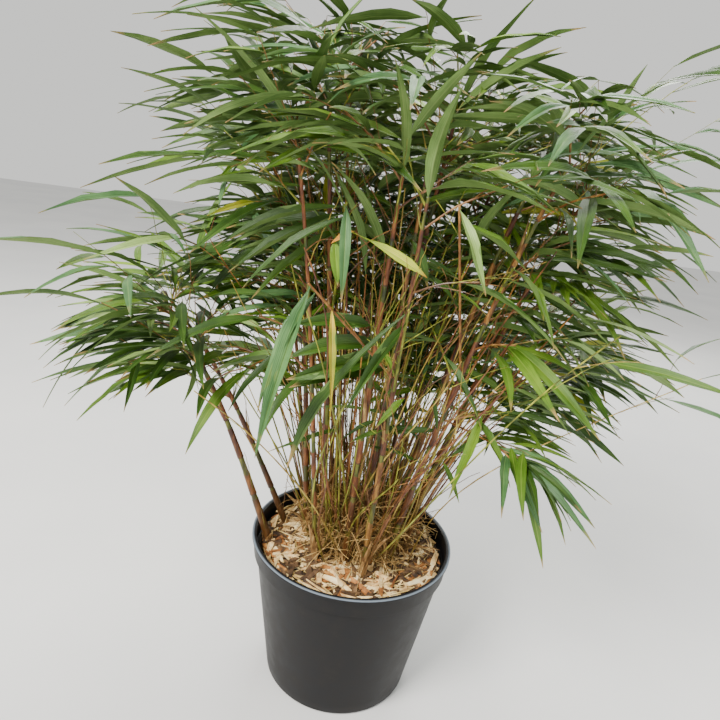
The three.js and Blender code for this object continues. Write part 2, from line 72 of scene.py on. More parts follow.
def turned_form(sides, profile, merge):
    """A closed round form, left in edit mode: a disc drawn out along +Z through a profile of radii and heights."""
    bpy.ops.object.select_all(action="DESELECT")
    radius, height = profile[0]
    bpy.ops.mesh.primitive_circle_add(vertices=sides, radius=radius, fill_type="NGON")
    bpy.ops.object.mode_set(mode="EDIT")
    bpy.ops.mesh.select_all(action="SELECT")
    for next_radius, next_height in profile[1:]:
        bpy.ops.mesh.extrude_region_move(TRANSFORM_OT_translate={"value": (0, 0, next_height - height)})
        share = next_radius / radius
        bpy.ops.transform.resize(value=(share, share, 1), center_override=(0, 0, next_height))
        radius, height = next_radius, next_height
    bpy.ops.mesh.select_all(action="SELECT")
    bpy.ops.mesh.remove_doubles(threshold=merge)
    bpy.ops.mesh.normals_make_consistent(inside=False)
    return bpy.context.object


def new_finish(name, roughness):
    """A procedural finish, with its node tree and its shader at hand."""
    finish = bpy.data.materials.new(name)
    finish.use_nodes = True
    shader = finish.node_tree.nodes["Principled BSDF"]
    shader.inputs["Roughness"].default_value = roughness
    return finish, finish.node_tree, shader


def feed(tree, node, inputs):
    """Sets a node's inputs to values, or links them from the outputs of other nodes."""
    for socket, value in inputs.items():
        if isinstance(value, bpy.types.NodeSocket):
            tree.links.new(value, node.inputs[socket])
        else:
            node.inputs[socket].default_value = value


def add(tree, kind, inputs, **settings):
    """A new node with its settings and inputs."""
    node = tree.nodes.new("ShaderNode" + kind)
    for name, value in settings.items():
        setattr(node, name, value)
    feed(tree, node, inputs)
    return node


def grain(tree, size, stretch=(1, 1, 1), detail=3.0, source="Object"):
    """Noise over the piece, in specks of a size in metres, drawn out along an axis by a small stretch value."""
    places = add(tree, "TexCoord", {}).outputs[source]
    drawn = add(tree, "Mapping", {"Vector": places, "Scale": stretch}).outputs["Vector"]
    return add(tree, "TexNoise", {"Vector": drawn, "Scale": 1 / size, "Detail": detail}).outputs["Fac"]


def tints(tree, value, colours, at=(0.34, 0.5, 0.66)):
    """Turns a value into a colour that runs through some colours, each reached at its own value."""
    ramp = add(tree, "ValToRGB", {"Fac": value})
    stops = ramp.color_ramp.elements
    stops[0].position = at[0]
    stops[1].position = at[-1]
    for place in at[1:-1]:
        stops.new(place)
    for stop, colour in zip(stops, colours):
        stop.color = (*colour, 1)
    return ramp.outputs["Color"]


def reckoned(tree, operation, *values):
    """What an arithmetic operation makes of some values."""
    return add(tree, "Math", dict(enumerate(values)), operation=operation).outputs["Value"]


def spread(tree, value, low, high, start=0.3, end=0.7):
    """Turns the values from start to end into those from low to high."""
    limits = {"From Min": start, "From Max": end, "To Min": low, "To Max": high}
    return add(tree, "MapRange", {"Value": value, **limits}).outputs["Result"]


def blended(tree, share, skin, colour):
    """A skin that goes over into a plain colour by a share."""
    return add(tree, "Mix", {0: share, 6: skin, 7: (*colour, 1)}, data_type="RGBA").outputs[2]


def relief(tree, shader, value, depth, strength):
    """Bumps the surface by a value, over a depth in metres."""
    bump = add(tree, "Bump", {"Height": value, "Distance": depth, "Strength": strength})
    feed(tree, shader, {"Normal": bump.outputs["Normal"]})


def fitted(piece, slot, *nodes):
    """Fixes a piece to the one body, in place of the plain nodes. The slot argument is not used."""
    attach(piece, "root")
    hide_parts(*nodes)


pot = turned_form(96, [
    (POT_BASE_RADIUS - 0.003, 0),
    (POT_BASE_RADIUS, POT_FLOOR),
    (0.1062, 0.018),
    (0.1066, 0.021),
    (SHOULDER_RADIUS - 0.0004, SHOULDER - 0.002),
    (SHOULDER_RADIUS, SHOULDER),
    (COLLAR_RADIUS, SHOULDER + STEP),
    (COLLAR_RADIUS, POT_HEIGHT - LIP),
    (RIM_RADIUS, POT_HEIGHT - LIP),
    (RIM_RADIUS, POT_HEIGHT),
    (COLLAR_RADIUS - WALL, POT_HEIGHT),
    (COLLAR_RADIUS - WALL, SHOULDER + STEP),
    (SHOULDER_RADIUS - WALL, SHOULDER),
    (POT_BASE_RADIUS - WALL, POT_FLOOR),
], 0.00005)
bpy.ops.object.mode_set(mode="OBJECT")
pot.name = "nursery_pot"
rounding = pot.modifiers.new("rounding", "BEVEL")
rounding.width = 0.0006
rounding.segments = 2
rounding.limit_method = "ANGLE"
rounding.angle_limit = math.radians(28)
bpy.ops.object.modifier_apply(modifier="rounding")
bpy.ops.object.shade_smooth_by_angle(angle=math.radians(35))

# Dusty black plastic. The lip's outer edge carries a painted highlight: a thin ring of pale bluish grey that stands
# in for the sky's reflection on the glossy lip.
black_plastic, tree, shader = new_finish("black_plastic", 0.4)
dust = grain(tree, 0.018, detail=6.0)
places = add(tree, "TexCoord", {}).outputs["Object"]
height = add(tree, "SeparateXYZ", {"Vector": places}).outputs["Z"]
flattened = add(tree, "Mapping", {"Vector": places, "Scale": (1, 1, 0)}).outputs["Vector"]
from_middle = add(tree, "VectorMath", {0: flattened}, operation="LENGTH").outputs["Value"]
on_lip = spread(tree, height, 0, 0.8, POT_HEIGHT - 0.0014, POT_HEIGHT - 0.0002)
at_edge = spread(tree, from_middle, 0, 1, RIM_RADIUS - 0.0034, RIM_RADIUS - 0.0012)
# The share of painted highlight on the lip's outer edge.
recolour_share = reckoned(tree, "MULTIPLY", on_lip, at_edge)
feed(tree, shader, {
    "Base Color": blended(tree, recolour_share, tints(tree, dust, PLASTIC_BLACKS, (0.4, 0.62, 0.85)), LIP_HIGHLIGHT_GREY),
    "Roughness": spread(tree, dust, 0.4, 0.5),
    "Specular IOR Level": 0.15,
})
relief(tree, shader, grain(tree, 0.0006, detail=2.0), 0.0001, 0.35)
pot.data.materials.append(black_plastic)
fitted(pot, "pot", "pot")


# The potting mix: damp, dark and lumpy, heaped a little towards the clump. It fills the pot to below the lip, and
# the mulch hides nearly all of it.
MM = 0.001
SOIL_TOP = 196.0
SOIL_RADIUS = 0.1292
SOIL_FOOT = 0.0033
SOIL_FOOT_RADIUS = 0.1012
SOIL_DEPTH = 0.1927
SOIL_BROWNS = [(0.018, 0.011, 0.007), (0.07, 0.043, 0.025), (0.16, 0.1, 0.055)]


def pick_faces(way):
    """Selects the faces of the piece in edit mode that look up, for a way of 1, or down, for -1."""
    piece = bpy.context.edit_object
    form = bmesh.from_edit_mesh(piece.data)
    for face in form.faces:
        face.select_set(False)
    for face in form.faces:
        if face.normal.z * way > 0.9:
            face.select_set(True)
    bmesh.update_edit_mesh(piece.data)


def ground_height(x, y):
    """How high the potting mix lies at a place, in millimetres."""
    heap = 3.0 * np.exp(-((x + 3) ** 2 + (y - 14) ** 2) / 70**2)
    lumps = 0.8 * np.sin(x * 0.21 + 1.3) * np.cos(y * 0.17) + 0.6 * np.sin(x * 0.47 - y * 0.39)
    return SOIL_TOP + 1.2 + heap + lumps


bpy.ops.object.select_all(action="DESELECT")
middle = (0, 0, SOIL_FOOT + SOIL_DEPTH / 2)
bpy.ops.mesh.primitive_cylinder_add(
    vertices=64, radius=SOIL_RADIUS, depth=SOIL_DEPTH, end_fill_type="TRIFAN", location=middle
)
soil = bpy.context.object
soil.name = "potting_mix"
bpy.ops.object.transform_apply(location=True, rotation=True, scale=True)
bpy.ops.object.mode_set(mode="EDIT")
pick_faces(-1)
drawn_in = SOIL_FOOT_RADIUS / SOIL_RADIUS
bpy.ops.transform.resize(value=(drawn_in, drawn_in, 1), center_override=(0, 0, SOIL_FOOT))
pick_faces(1)
bpy.ops.mesh.subdivide(number_cuts=9)
bpy.ops.object.mode_set(mode="OBJECT")
for spot in soil.data.vertices:
    if spot.co.z > SOIL_FOOT + SOIL_DEPTH / 2:
        spot.co.z = ground_height(spot.co.x / MM, spot.co.y / MM) * MM
bpy.ops.object.shade_smooth_by_angle(angle=math.radians(60))

potting_mix, tree, shader = new_finish("potting_mix", 0.9)
lumps = grain(tree, 0.004, detail=8.0)
feed(tree, shader, {"Base Color": tints(tree, lumps, SOIL_BROWNS, (0.3, 0.55, 0.75))})
relief(tree, shader, lumps, 0.003, 0.9)
soil.data.materials.append(potting_mix)
fitted(soil, "soil", "mulched_soil")


# The mulch: shredded wood and bark with some straw, strewn loose over the potting mix and trodden in a little.
# Each scrap is a thin splinter with slanted ends, and the scraps of one colour are joined.
STREWN_RADIUS = 125
MULCH_EDGE = 128.5


def joined(name, spots, faces, finishes, sharp, slot, nodes, face_finishes=None, uv=None):
    """A piece from arrays of places in millimetres and of faces, smooth but for edges sharper than an angle."""
    mesh = bpy.data.meshes.new(name)
    corners = np.asarray(faces, dtype=np.int32)
    mesh.vertices.add(len(spots))
    mesh.vertices.foreach_set("co", (np.asarray(spots, dtype=np.float64) * MM).ravel())
    mesh.loops.add(corners.size)
    mesh.loops.foreach_set("vertex_index", corners.ravel())
    mesh.polygons.add(len(corners))
    mesh.polygons.foreach_set("loop_start", np.arange(0, corners.size, corners.shape[1], dtype=np.int32))
    for finish in finishes:
        mesh.materials.append(finish)
    if face_finishes is not None:
        mesh.polygons.foreach_set("material_index", np.asarray(face_finishes, dtype=np.int32))
    if uv is not None:
        sheet = mesh.uv_layers.new(name="length_and_width")
        sheet.data.foreach_set("uv", np.asarray(uv, dtype=np.float64)[corners.ravel()].ravel())
    mesh.update(calc_edges=True)
    mesh.validate()
    piece = bpy.data.objects.new(name, mesh)
    bpy.context.collection.objects.link(piece)
    bpy.ops.object.select_all(action="DESELECT")
    piece.select_set(True)
    bpy.context.view_layer.objects.active = piece
    bpy.ops.object.shade_smooth_by_angle(angle=math.radians(sharp))
    fitted(piece, slot, *nodes)


def tubes(stations, sides, caps, count):
    """The four-cornered faces of many closed tubes, each with rings of corners along it and caps at its ends."""
    one = [
        (i * sides + j, i * sides + (j + 1) % sides, (i + 1) * sides + (j + 1) % sides, (i + 1) * sides + j)
        for i in range(stations - 1)
        for j in range(sides)
    ]
    last_ring = (stations - 1) * sides
    one += [cap[::-1] for cap in caps] + [tuple(last_ring + j for j in cap) for cap in caps]
    return (np.array(one) + (stations * sides * np.arange(count))[:, None, None]).reshape(-1, 4)


def splinters(name, count, seed, length, width, height, sag, finish):
    """Thin scraps strewn over the ground: count of them, sized between limits in millimetres."""
    draw = np.random.default_rng(seed)
    out = STREWN_RADIUS * np.sqrt(draw.random(count))
    turn = draw.random(count) * 2 * math.pi
    centre = np.stack([out * np.cos(turn), out * np.sin(turn)], axis=1)
    heading = draw.random(count) * math.pi
    half_length = draw.uniform(*length, count) / 2
    # A scrap near the wall lies along it.
    near_wall = out + half_length > STREWN_RADIUS + 1
    heading = np.where(near_wall, turn + math.pi / 2 + draw.uniform(-0.3, 0.3, count), heading)
    pulled_in = np.minimum(1, (STREWN_RADIUS - 2 - 0.1 * half_length) / np.maximum(out, 1))
    centre *= pulled_in[:, None]
    half_width = draw.uniform(*width, count) / 2
    half_height = draw.uniform(*height, count) / 2
    lift = draw.uniform(0.0, 6.5, count)
    pitch = draw.uniform(-0.2, 0.2, count)
    roll = draw.uniform(-0.5, 0.5, count)
    bend = draw.uniform(-sag, sag, count)
    slant = draw.uniform(-0.8, 0.8, (count, 2))
    along_x, along_y = np.cos(heading), np.sin(heading)
    spots = np.zeros((count, 4, 4, 3))
    for i, station in enumerate(np.linspace(-1, 1, 4)):
        full = 1.0 if 0 < i < 3 else 0.72
        for j, (side, rise) in enumerate([(-1, -1), (1, -1), (1, 1), (-1, 1)]):
            shift = slant[:, 0 if station < 0 else 1] * (abs(station) > 0.9) * half_width * side
            run = station * half_length + shift
            wide = side * half_width * full * np.cos(roll) + bend * half_length * (station**2 - 0.5)
            x = centre[:, 0] + run * along_x - wide * along_y
            y = centre[:, 1] + run * along_y + wide * along_x
            high = rise * half_height * full + side * half_width * full * np.sin(roll) + run * np.sin(pitch)
            spots[:, i, j] = np.stack([x, y, ground_height(x, y) * 0.5 + high + lift], axis=1)
            spots[:, i, j, 2] += ground_height(centre[:, 0], centre[:, 1]) * 0.5
    out = np.hypot(spots[..., 0], spots[..., 1])
    spots[..., :2] *= np.minimum(1, MULCH_EDGE / out)[..., None]
    faces = tubes(4, 4, [(0, 1, 2, 3)], count)
    joined(name, spots.reshape(-1, 3), faces, [finish], 25, "soil", ["mulched_soil"])


def wood_finish(name, dark, middle, light, roughness=0.8):
    """Split wood or dry stalk, streaked and flecked."""
    finish, tree, shader = new_finish(name, roughness)
    feed(tree, shader, {"Base Color": tints(tree, grain(tree, 0.014, detail=5.0), (dark, middle, light))})
    relief(tree, shader, grain(tree, 0.0008, detail=3.0), 0.0004, 0.7)
    return finish


pale_wood = wood_finish("pale_wood", (0.46, 0.27, 0.10), (0.82, 0.58, 0.26), (0.95, 0.82, 0.50))
orange_wood = wood_finish("orange_wood", (0.14, 0.045, 0.009), (0.34, 0.13, 0.028), (0.58, 0.29, 0.08))
bark = wood_finish("bark", (0.028, 0.014, 0.006), (0.085, 0.042, 0.016), (0.20, 0.11, 0.045))
straw = wood_finish("straw", (0.36, 0.24, 0.07), (0.62, 0.45, 0.17), (0.84, 0.70, 0.36), roughness=0.6)
splinters("bark_scraps", 620, 3, (10, 34), (3, 7.5), (1.5, 4), 0.1, bark)
splinters("orange_chips", 190, 4, (12, 40), (3, 8), (1.2, 3), 0.1, orange_wood)
splinters("pale_chips", 380, 5, (18, 62), (2, 7.5), (0.9, 2.6), 0.16, pale_wood)
splinters("straw_stalks", 190, 6, (26, 80), (1.0, 2.2), (0.5, 1.2), 0.25, straw)


# The culms: slender bamboo stems, jointed about every 60 mm, red-brown where a sheath wraps the lower part of a
# joint and green above it. They rise from one foot, taper, and lean out more towards the clump's edge. Three stand
# apart from the others and lean far out.
GAP = 0.3
CULM_COUNT = 17
FOOT_RADIUS = 84
FOOT_CENTRE = (-3, 14)
FIRST_TURN = 0.4
LEAN_SPREAD = 0.3
CULM_LENGTH = (640, 500)
CULM_LENGTH_SHARES = (0.9, 1.04)
CULM_TILT = (3, 17)
CULM_TILT_SPREAD = 4
UPRIGHT_SHARE = 0.45
CULM_RADIUS = (3, 4.8)
CULM_TAPER = 0.55
CULM_PULL = 0.62
CULM_STEPS = 24
BARE_SHARE = (0.54, 0.66)
LONE_CULMS = [((-114, -14), 184, 20, 360), ((-96, 30), 176, 25, 370), ((58, 40), 30, 36, 400)]
LIMB_BEAD = 6
GOLDEN_ANGLE = math.pi * (3 - math.sqrt(5))
UP = np.array([0.0, 0.0, 1.0])
MOST_BEADS = 150000


def seeded(seed):
    """Numbers that are the same on every run."""
    state = [seed]

    def draw(low=0.0, high=1.0):
        state[0] = (state[0] * 1664525 + 1013904223) % 4294967296
        return low + (high - low) * (state[0] / 4294967296)

    return draw


def between(low, high, share):
    return low + (high - low) * share


def level(turn):
    return np.array([math.cos(turn), math.sin(turn), 0.0])


def unit(way):
    return way / np.linalg.norm(way, axis=-1, keepdims=True)


def grow(start, direction, length, steps, pull):
    """A limb's line. It sets out in one direction and is pulled down more at each step, as a thin end sags."""
    way = unit(np.asarray(direction, dtype=float))
    places = [np.asarray(start, dtype=float)]
    ways = [way]
    for i in range(steps):
        places.append(places[i] + way * (length / steps))
        way = way.copy()
        way[2] -= (pull * 2 * (i + 1)) / (steps * (steps + 1))
        way = unit(way)
        ways.append(way)
    return {"places": np.array(places), "ways": np.array(ways), "length": length}


def along(line, share):
    """The place and direction at a share of a line's length, or at many shares."""
    last = len(line["places"]) - 1
    spot = np.clip(np.asarray(share, dtype=float), 0, 1) * last
    i = np.minimum(np.floor(spot).astype(int), last - 1)
    part = (spot - i)[..., None]
    place = line["places"][i] + (line["places"][i + 1] - line["places"][i]) * part
    way = line["ways"][i] + (line["ways"][i + 1] - line["ways"][i]) * part
    return place, unit(way)


grown = {
    "place": np.zeros((MOST_BEADS, 3)),
    "radius": np.zeros(MOST_BEADS),
    "owner": np.zeros(MOST_BEADS, int),
    "twig": np.zeros(MOST_BEADS, int),
    "count": 0,
}


def keep(beads, owner, twig=0):
    """Remembers the beads strung along what has grown, with their piece and twig."""
    places, radii = beads
    first = grown["count"]
    last = first + len(radii)
    grown["place"][first:last] = places
    grown["radius"][first:last] = radii
    grown["owner"][first:last] = owner
    grown["twig"][first:last] = twig
    grown["count"] = last


def limb_beads(line, start, end, foot_radius, tip_radius):
    count = max(2, math.ceil((end - start) * line["length"] / LIMB_BEAD) + 1)
    share = np.arange(count) / (count - 1)
    return along(line, between(start, end, share))[0], between(foot_radius, tip_radius, share)


def grow_culms():
    draw = seeded(11)
    plans = []
    for i in range(CULM_COUNT):
        out = math.sqrt((i + 0.5) / CULM_COUNT)
        turn = FIRST_TURN + i * GOLDEN_ANGLE
        lean = turn + draw(-LEAN_SPREAD, LEAN_SPREAD)
        upright = max(0, -math.sin(lean), -math.cos(lean))
        tilt = between(*CULM_TILT, out) + draw(-CULM_TILT_SPREAD, CULM_TILT_SPREAD)
        foot = level(turn) * (FOOT_RADIUS * out) + np.array([*FOOT_CENTRE, 0.0])
        length = between(*CULM_LENGTH, out * out) * draw(*CULM_LENGTH_SHARES)
        plans.append((foot, lean, math.radians(tilt * between(1, UPRIGHT_SHARE, upright)), length))
    for foot, lean, tilt, length in LONE_CULMS:
        plans.append((np.array([*foot, 0.0]), math.radians(lean), math.radians(tilt), length))
    grown_culms = []
    for foot, lean, tilt, length in plans:
        foot[2] = SOIL_TOP + GAP
        direction = level(lean) * math.sin(tilt) + UP * math.cos(tilt)
        line = grow(foot, direction, length, CULM_STEPS, CULM_PULL)
        grown_culms.append({"line": line, "lean": lean, "radius": draw(*CULM_RADIUS), "bare": draw(*BARE_SHARE)})
    return grown_culms


def culm_radius_at(culm, share):
    return culm["radius"] * (1 - CULM_TAPER * share)


culms = grow_culms()
for i, culm in enumerate(culms):
    bare_end = culm_radius_at(culm, culm["bare"])
    keep(limb_beads(culm["line"], 0, culm["bare"], culm["radius"], bare_end), i)
    keep(limb_beads(culm["line"], culm["bare"], 1, bare_end, culm_radius_at(culm, 1)), 100 + i)

# One joint of a culm, one unit long and one unit in radius, from the ridge of a node up to the next.
culm_joint = turned_form(12, [
    (0.97, 0),
    (1.06, 0.012),
    (1.20, 0.022),
    (1.20, 0.036),
    (1.09, 0.050),
    (1.15, 0.062),
    (1.12, 0.30),
    (1.09, 0.58),
    (1.10, 0.615),
    (0.99, 0.622),
    (0.97, 0.93),
    (1.01, 0.985),
    (0.97, 1.0),
], 0.0005)
bpy.ops.mesh.quads_convert_to_tris()
bpy.ops.object.mode_set(mode="OBJECT")
joint_spots = np.array([spot.co[:] for spot in culm_joint.data.vertices])
# The sheath's upper edge is slanted.
at_edge = (joint_spots[:, 2] > 0.57) & (joint_spots[:, 2] < 0.63)
joint_spots[at_edge, 2] += 0.045 * joint_spots[at_edge, 0]
joint_faces = np.array([face.vertices[:] for face in culm_joint.data.polygons])
joint_heights = joint_spots[joint_faces, 2].mean(axis=1)
NODE, BARE, SHEATH = 0, 1, 2
joint_finishes = np.where(joint_heights < 0.045, NODE, np.where(joint_heights < 0.60, SHEATH, BARE))
bpy.data.objects.remove(culm_joint)


def bent_joint(line, start, end, radii, turn, sheath_end):
    """A copy of the culm's joint, laid along a stretch of a line, with its sheath drawn up to a share of it."""
    height = joint_spots[:, 2]
    drawn = np.interp(height, (0, 0.07, 0.6, 1), (0, 0.07, sheath_end, 1))
    place = along(line, start + drawn * (end - start))[0]
    way = along(line, (start + end) / 2)[1]
    side = unit(np.cross(np.array([0.0, 1.0, 0.0]), way))
    across = np.cross(way, side)
    radius = between(*radii, height)
    x = (joint_spots[:, 0] * math.cos(turn) - joint_spots[:, 1] * math.sin(turn)) * radius
    y = (joint_spots[:, 0] * math.sin(turn) + joint_spots[:, 1] * math.cos(turn)) * radius
    return place + side * x[:, None] + across * y[:, None]


FOOT_BROWN = (0.085, 0.045, 0.009)
FOOT_BAND = (0.27, 0.46)


def culm_finish(name, colours, roughness=0.5, size=0.012, soiled=0.6, at=(0.34, 0.5, 0.66)):
    """A stem's skin: long streaks of colour along the stem, with a fine grain, and browned towards its foot."""
    finish, tree, shader = new_finish(name, roughness)
    streaks = grain(tree, size, stretch=(2.6, 2.6, 0.5), detail=6.0)
    places = add(tree, "TexCoord", {}).outputs["Object"]
    height = add(tree, "SeparateXYZ", {"Vector": places}).outputs["Z"]
    uneven = reckoned(tree, "MULTIPLY_ADD", grain(tree, 0.03, detail=3.0), 0.16, height)
    browned = spread(tree, uneven, soiled, 0, *FOOT_BAND)
    feed(tree, shader, {
        "Base Color": blended(tree, browned, tints(tree, streaks, colours, at), FOOT_BROWN),
        "Roughness": spread(tree, streaks, roughness - 0.1, roughness + 0.15),
    })
    relief(tree, shader, grain(tree, 0.0012, stretch=(3, 3, 0.3), detail=3.0), 0.0002, 0.5)
    return finish


# In the order of NODE, BARE and the three ages of SHEATH.
culm_finishes = [
    culm_finish(
        "dark_node", [(0.026, 0.013, 0.006), (0.08, 0.036, 0.014), (0.18, 0.11, 0.05)], 0.6, at=(0.35, 0.6, 0.75)
    ),
    culm_finish("green_culm", [(0.016, 0.024, 0.002), (0.058, 0.070, 0.005), (0.16, 0.165, 0.015)], 0.38),
    culm_finish("red_sheath", [(0.055, 0.013, 0.002), (0.15, 0.040, 0.007), (0.29, 0.115, 0.026)], 0.5),
    culm_finish("maroon_sheath", [(0.028, 0.007, 0.002), (0.085, 0.022, 0.006), (0.19, 0.070, 0.020)], 0.45),
    culm_finish("tan_sheath", [(0.08, 0.028, 0.004), (0.19, 0.075, 0.011), (0.37, 0.19, 0.036)], 0.55),
]
JOINT_LENGTH = (52, 84)
draw = seeded(401)
for i, culm in enumerate(culms):
    line = culm["line"]
    spots = []
    faces = []
    finishes = []
    at = 0.0
    turn = draw(0, 6.28)
    step = draw(*JOINT_LENGTH)
    aged = draw(0, 2.5) if i < CULM_COUNT else draw(0, 1)
    while at < line["length"] - 12:
        step = min(step, line["length"] - at)
        start = at / line["length"]
        end = (at + step) / line["length"]
        faces.append(joint_faces + len(joint_spots) * len(spots))
        radii = culm_radius_at(culm, start), culm_radius_at(culm, end)
        spots.append(bent_joint(line, start, end, radii, turn, draw(0.45, 0.95)))
        sheath = SHEATH + int(min(2.99, max(0, aged + draw(-0.8, 0.8))))
        finishes.append(np.where(joint_finishes == SHEATH, sheath, joint_finishes))
        at += step * 0.995
        turn += math.pi + draw(-0.4, 0.4)
        step = draw(*JOINT_LENGTH) * between(1, 0.8, end)
    joined(
        f"bamboo_culm_{i + 1:02d}", np.concatenate(spots), np.concatenate(faces), culm_finishes, 40,
        "culm", [f"culm_{i + 1:02d}"], np.concatenate(finishes),
    )


# The leafy sprays: twigs that leave the culms and the leaves they carry, grown one after another by one rule. A
# twig or leaf that would touch another piece or leave its own culm's space is not grown.
TWIGS_PER_TOP = 8
TWIG_LENGTH = (50, 95)
TWIG_RADIUS = 1.2
TWIG_TIP_RADIUS = 0.84
TWIG_PULL = 0.75
TWIG_STEPS = 2
TWIG_TURN = 0.5
TWIG_OUT = 0.85
TWIG_RISE = (0.4, 1)
TWIG_TRIES = 8
FIRST_TWIG = 0.03
LAST_TWIG = 0.98
LEAF_SHARES = (1, 0.78, 0.56, 0.34)
LEAF_LENGTH = (100, 145)
LEAF_WIDTH_SHARE = 0.115
TIP_LEAF_BACK = 3
LEAF_WIDEST = 0.42
LEAF_LIFT = 0.06
LEAF_ASIDE = 0.7
LEAF_ASIDE_SPREAD = 0.3
LEAF_TWIST = 0.6
LEAF_LEVELLING = 0.45
LEAF_DROOP = (0, 0.5)
LEAF_TRIES = 8
LEAF_BEAD = 5
SPRAY_RADIUS = 1.4
SPRAY_FROM = 0.15
SPRAY_EVERY = 0.03
SPRAY_BELOW_TOP = 0.02
SPRAY_SLOPE = (0.1, 0.93)
FOOT_SHARE = 0.12
STEM_SPOTS = 8
CLEARANCE = 2.8
NEAR = 25
SPACE_SLACK = 45
# Each spray in front: where its stem ends, and each leaf's distance back from there, turn, fall, length and colour,
# with the outline of those that aren't plain.
FRONT_SPRAYS = [
    ((-79, -172, 602), [
        (0, -138, 74, 170, "blue"), (9, -150, 67, 127, "blue"), (36, -69, 74, 136, "straw", "threaded"),
    ]),
    ((21, -152, 585), [(0, -164, 59, 205, "dark", "rolled"), (14, -130, 45, 110, "dark")]),
    ((-52, -160, 680), [
        (0, -76, 72, 91, "blue"), (14, -173, 41, 122, "dark"), (30, -7, 22, 95, "ageing", "stalked"),
    ]),
    ((51, -168, 690), [(0, -42, 58, 84, "pale"), (14, 13, 26, 90, "green")]),
    ((74, -60, 520), [(0, -20, 43, 95, "dark"), (18, 15, 25, 115, "green")]),
    ((138, -58, 450), [(0, -131, 67, 108, "bright"), (14, -28, 48, 95, "green")]),
    ((-112, -55, 500), [(0, -151, 49, 100, "dark"), (18, 165, 20, 120, "green"), (36, -120, 40, 110, "dark")]),
    ((-60, -60, 672), [
        (0, -174, 22, 150, "dark"), (12, -165, 32, 145, "dark"),
        (26, 172, 16, 140, "dark"), (40, 178, 38, 130, "green"),
    ]),
    ((-14, -84, 548), [
        (0, -167, 2, 90, "dark", "broad"), (30, -160, 8, 110, "dark", "broad"),
        (52, -157, 14, 120, "dark", "broad"), (76, -155, 9, 125, "dark", "broad"),
    ]),
]
FACING = np.array([0.0, -0.4, 1.0])
TIP_SHIFTS = (0, 6, -6, 12, -12, 18, -18)
OPEN_FRONT_EDGE = -75
OPEN_FRONT_MIDDLE = -30
OPEN_FRONT_HALF = 140
OPEN_FRONT_TOP = 700
LEAF_TURNS = (0, 8, -8, 16, -16, 24, -24)
SIDE_SPRAYS = 5
SIDE_TURNS = (-10, 190)
SIDE_TURN_SPREAD = 0.25
SIDE_HEIGHT = (400, 500)
SIDE_REACH = (145, 180)
SIDE_TWIGS = ((0.98, -0.9), (0.78, 0), (0.58, 0.9))
TUFT_FEET = ((-60, 26), (-16, -22), (28, 46), (58, 2))
TUFT_SHIFT = 15
SHOOTS_PER_TUFT = 12
TUFT_CROWN_RADIUS = 9
TUFT_CROWN_HEIGHT = 5
SHOOT_RING = 5.4
SHOOT_LENGTH = (290, 480)
SHOOT_LEAN = (0.02, 0.22)
TUFT_LEAN = 0.25
SHOOT_RADIUS = 1.3
SHOOT_TIP_RADIUS = 0.65
SHOOT_PULL = 0.7
SHOOT_STEPS = 4
SHOOT_TRIES = 120

top_stems = np.array([
    along(culm["line"], between(culm["bare"], 1, np.arange(STEM_SPOTS) / (STEM_SPOTS - 1)))[0] for culm in culms
])
leaves = []
twigs = []
shoots = []


def is_clear(beads, owner, twig=None):
    """True where the beads touch nothing but their own piece's stem and, where no twig is named, their piece."""
    places, radii = beads
    count = grown["count"]
    spots = grown["place"][:count]
    near = np.all((spots > places.min(axis=0) - NEAR) & (spots < places.max(axis=0) + NEAR), axis=1)
    own = grown["owner"][:count] == owner
    if twig is not None:
        own &= (grown["twig"][:count] == 0) | (grown["twig"][:count] == twig)
    others = near & ~own
    if not others.any():
        return True
    apart = np.linalg.norm(places[:, None] - spots[others][None], axis=2)
    return bool(np.all(apart > radii[:, None] + grown["radius"][:count][others][None] + CLEARANCE))


def level_across(way):
    across = np.cross(way, UP)
    size = np.linalg.norm(across)
    return np.array([1.0, 0.0, 0.0]) if size < 1e-3 else across / size


def turned_about(way, axis, angle):
    """A direction square to an axis, turned about it."""
    return way * math.cos(angle) + np.cross(axis, way) * math.sin(angle)


def falling(turn, fall):
    drop = math.radians(fall)
    return level(math.radians(turn)) * math.cos(drop) - UP * math.sin(drop)


def share_back(line, back):
    return 1 - back / line["length"]


def in_own_space(spot, owner):
    """True where a spot is not much nearer to another culm's top than to the top it grows on."""
    if not 100 <= owner < 200:
        return True
    apart = np.linalg.norm(top_stems - spot, axis=2).min(axis=1)
    return bool(np.all(apart > apart[owner - 100] - SPACE_SLACK))


def grow_leaf(root, way, flat, length, owner, twig, colour=None):
    normal = np.cross(way, flat)
    middle = root + way * (LEAF_WIDEST * length) + normal * (LEAF_LIFT * length)
    tip = root + way * length
    if not (in_own_space(middle, owner) and in_own_space(tip, owner)):
        return None
    count = math.ceil(length / LEAF_BEAD) + 1
    share = np.arange(count) / (count - 1)
    fullness = np.minimum(share / LEAF_WIDEST, (1 - share) / (1 - LEAF_WIDEST))
    end = np.where((share < LEAF_WIDEST)[:, None], root, tip)
    beads = end + (middle - end) * fullness[:, None], LEAF_WIDTH_SHARE * length / 2 * fullness
    if not is_clear(beads, owner, twig):
        return None
    keep(beads, owner, twig)
    leaf = {"root": root, "way": way, "flat": flat, "length": length, "colour": colour, "owner": owner}
    leaf["twig"] = twig
    leaves.append(leaf)
    return leaf


def is_before_clump(spot):
    """True in the space in front where the stems show under the crown and only the front sprays hang leaves."""
    aside = abs(spot[0] - OPEN_FRONT_MIDDLE)
    return spot[1] < OPEN_FRONT_EDGE and aside < OPEN_FRONT_HALF and spot[2] < OPEN_FRONT_TOP


